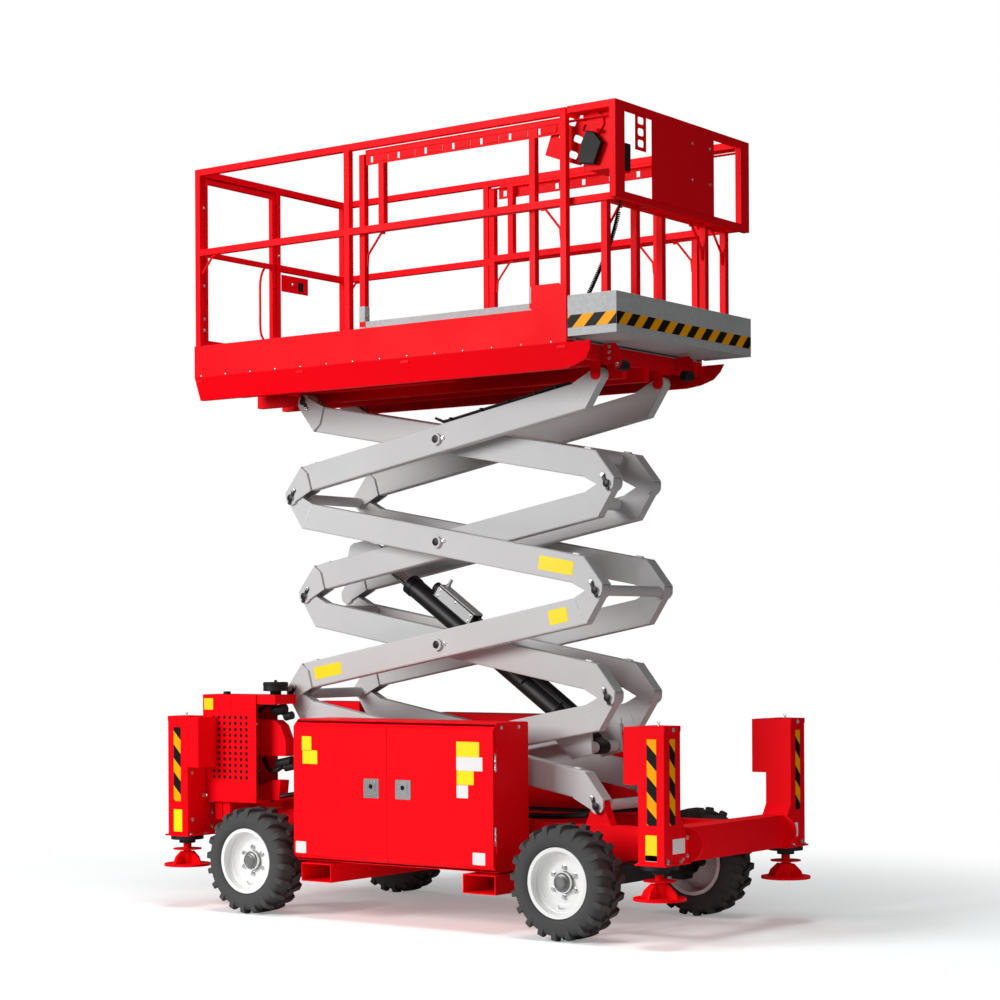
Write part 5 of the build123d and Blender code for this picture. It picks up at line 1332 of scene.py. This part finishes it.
@dataclass
class Cable:
    """Coiled cable from the control box down to the deck."""

    points: tuple = ((1.250, -0.480, 3.6837), (1.250, -0.490, 3.550), (1.230, -0.505, 3.410),
                     (1.180, -0.520, 3.270), (1.110, -0.525, 3.140), (1.050, -0.525, 3.040),
                     (0.990, -0.525, 2.928))
    length: float = 0.83
    diameter: float = 0.022
    wire: float = 0.0072
    turns: int = 62
    # shares of the length where the coils start and end, and over which they open
    coiled: tuple[float, float] = (0.24, 0.97)
    easing: float = 0.02

    def route(self) -> bpy.types.Object:
        """The cable's line, a NURBS curve of order 3 through its ends.

        Returns:
            The curve object.
        """
        curve = bpy.data.curves.new("cable_route", "CURVE")
        curve.dimensions = "3D"
        spline = curve.splines.new("NURBS")
        spline.points.add(len(self.points) - 1)
        for point, place in zip(spline.points, self.points):
            point.co = (*place, 1)
        spline.order_u = 3
        spline.use_endpoint_u = True
        spline.resolution_u = 24
        return shown("cable_route", curve)

    def build(self) -> bpy.types.Object:
        """Winds a helix round the line: p(s) + a(s) (cos ws u + sin ws v), slack at the top and tight below.

        Returns:
            The coiled cable.
        """
        route = self.route()
        bpy.context.view_layer.update()
        sampled = bpy.data.meshes.new_from_object(route.evaluated_get(bpy.context.evaluated_depsgraph_get()))
        line = np.empty(len(sampled.vertices) * 3)
        sampled.vertices.foreach_get("co", line)
        line = line.reshape(-1, 3)
        bpy.data.meshes.remove(sampled)
        step = np.r_[0, np.cumsum(np.linalg.norm(np.diff(line, axis=0), axis=1))]
        share = np.linspace(0, 1, self.turns * 14)
        at = np.stack([np.interp(share * step[-1], step, line[:, k]) for k in range(3)], -1)
        ahead = np.gradient(at, axis=0)
        ahead /= np.linalg.norm(ahead, axis=1, keepdims=True)
        side = np.cross(ahead, [0.0, 1.0, 0.0])
        side /= np.linalg.norm(side, axis=1, keepdims=True)
        start, end = self.coiled
        body = np.clip(np.minimum((share - start) / self.easing, (end - share) / self.easing), 0, 1)
        phase = (2 * np.pi * np.cumsum(body) / body.sum() * self.turns)[:, None]
        reach = ((self.diameter - self.wire) / 2 * 1.1 * body)[:, None]
        # the wire is drawn a quarter thicker where it isn't coiled
        radius = (self.wire / 2 * (1.25 - 0.25 * body))[:, None, None]
        coil = at + reach * (np.cos(phase) * side + np.sin(phase) * np.cross(ahead, side))
        cable = piece("control_cable_coil", [swept(coil, radius, 7)], JACKET, "extension")
        bpy.data.objects.remove(route)
        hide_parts("control_cable")
        return cable


# ---------------------------------------------------------------------------------------- studio
@dataclass
class Studio:
    """White floor, soft light and the camera."""

    place: Point = (7.2503, -9.6679, 1.4488)
    azimuth: float = math.radians(36.25)
    roll: float = math.radians(-0.294)
    lens: float = 82.75
    shift: float = 0.1379
    floor_radius: float = 60.0
    # the floor keeps its shadows up to the first of these distances and is plain white from the second
    floor_fade: tuple[float, float] = (2.2, 4.6)
    floor_glow: float = 0.26
    sky: float = 0.09
    target: Point = (0, 0, 1.8)
    # each lamp's place, width and power
    lamps: tuple = (("key", (-4.5, -9.5, 5.0), 5.0, 1090.0), ("top", (0.5, -1.0, 9.5), 4.0, 430.0),
                    ("right", (8.5, -2.0, 3.5), 4.0, 105.0))

    def build(self) -> None:
        """Camera, floor and light."""
        self.camera()
        self.floor()
        self.light()

    def camera(self) -> None:
        """Stands the camera level, turned by its azimuth and roll."""
        camera = shown("camera", bpy.data.cameras.new("camera"))
        right, up = Vector((math.cos(self.azimuth), math.sin(self.azimuth), 0)), Vector(UP)
        back = Vector((math.sin(self.azimuth), -math.cos(self.azimuth), 0))
        along = math.cos(self.roll) * right + math.sin(self.roll) * up
        crown = -math.sin(self.roll) * right + math.cos(self.roll) * up
        pose = Matrix((along, crown, back)).transposed().to_4x4()
        pose.translation = Vector(self.place)
        camera.matrix_world = pose
        camera.data.lens = self.lens
        camera.data.sensor_width = 36.0
        camera.data.shift_y = self.shift
        camera.data.clip_end = 200.0
        bpy.context.scene.camera = camera

    def floor(self) -> None:
        """Lays a white floor that keeps its shadows near the machine and is plain white far off."""
        mesh = bpy.data.meshes.new("floor")
        r = self.floor_radius
        mesh.from_pydata([(-r, -r, 0), (r, -r, 0), (r, r, 0), (-r, r, 0)], [], [(0, 1, 2, 3)])
        shown("floor", mesh)
        material = bpy.data.materials.new("white_floor")
        material.use_nodes = True
        tree = material.node_tree
        tree.nodes.remove(tree.nodes["Principled BSDF"])
        place = add(tree, "TexCoord").outputs["Object"]
        far = add(tree, "VectorMath", {0: place}, operation="LENGTH").outputs["Value"]
        start, end = self.floor_fade
        share = add(tree, "MapRange", {"Value": far, "From Min": start, "From Max": end},
                    interpolation_type="SMOOTHSTEP").outputs["Result"]
        # the diffuse is tinted faintly cyan to cancel the red light the machine bounces into the floor's
        # shadows: painted-out bounce light
        near = add(tree, "BsdfDiffuse", {"Color": (0.90, 0.96, 0.96, 1)}).outputs[0]
        seen = add(tree, "LightPath").outputs["Is Camera Ray"]
        soft = add(tree, "Math", {0: seen, 1: self.floor_glow}, operation="MULTIPLY").outputs[0]
        white, glow = (add(tree, "Emission", {"Strength": strength}).outputs[0]
                       for strength in (seen, soft))
        lit = add(tree, "AddShader", {0: near, 1: glow}).outputs[0]
        mix = add(tree, "MixShader", {0: share, 1: lit, 2: white}).outputs[0]
        plug(tree, tree.nodes["Material Output"], {"Surface": mix})
        mesh.materials.append(material)

    def light(self) -> None:
        """Lights the machine with a big soft key from the camera's left, and a world that looks white."""
        world = bpy.data.worlds.new("studio")
        bpy.context.scene.world = world
        world.use_nodes = True
        tree = world.node_tree
        rays = add(tree, "LightPath").outputs
        seen = add(tree, "Math", {0: rays["Is Camera Ray"], 1: rays["Is Transmission Ray"]},
                   operation="MAXIMUM").outputs[0]
        strength = add(tree, "MapRange", {"Value": seen, "To Min": self.sky}).outputs["Result"]
        plug(tree, tree.nodes["Background"], {"Strength": strength, "Color": (1, 1, 1, 1)})
        for name, place, size, power in self.lamps:
            lamp = bpy.data.lights.new(name, "AREA")
            lamp.size = size
            lamp.energy = power
            holder = shown(name, lamp)
            holder.location = place
            holder.rotation_euler = (Vector(self.target) - Vector(place)).to_track_quat("-Z", "Y").to_euler()
        bpy.context.scene.view_settings.view_transform = "Standard"


def main() -> None:
    """Builds the studio and every sub-assembly, and reports each."""
    logging.basicConfig(level=logging.INFO, format="%(message)s")
    machine = Machine(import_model())
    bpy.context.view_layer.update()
    Studio().build()
    machine.dress()
    for assembly in (Wheels(machine), Arms(machine), LiftCylinder(machine), Base(), Platform(), Cable()):
        assembly.build()


if __name__ == "__main__":
    main()
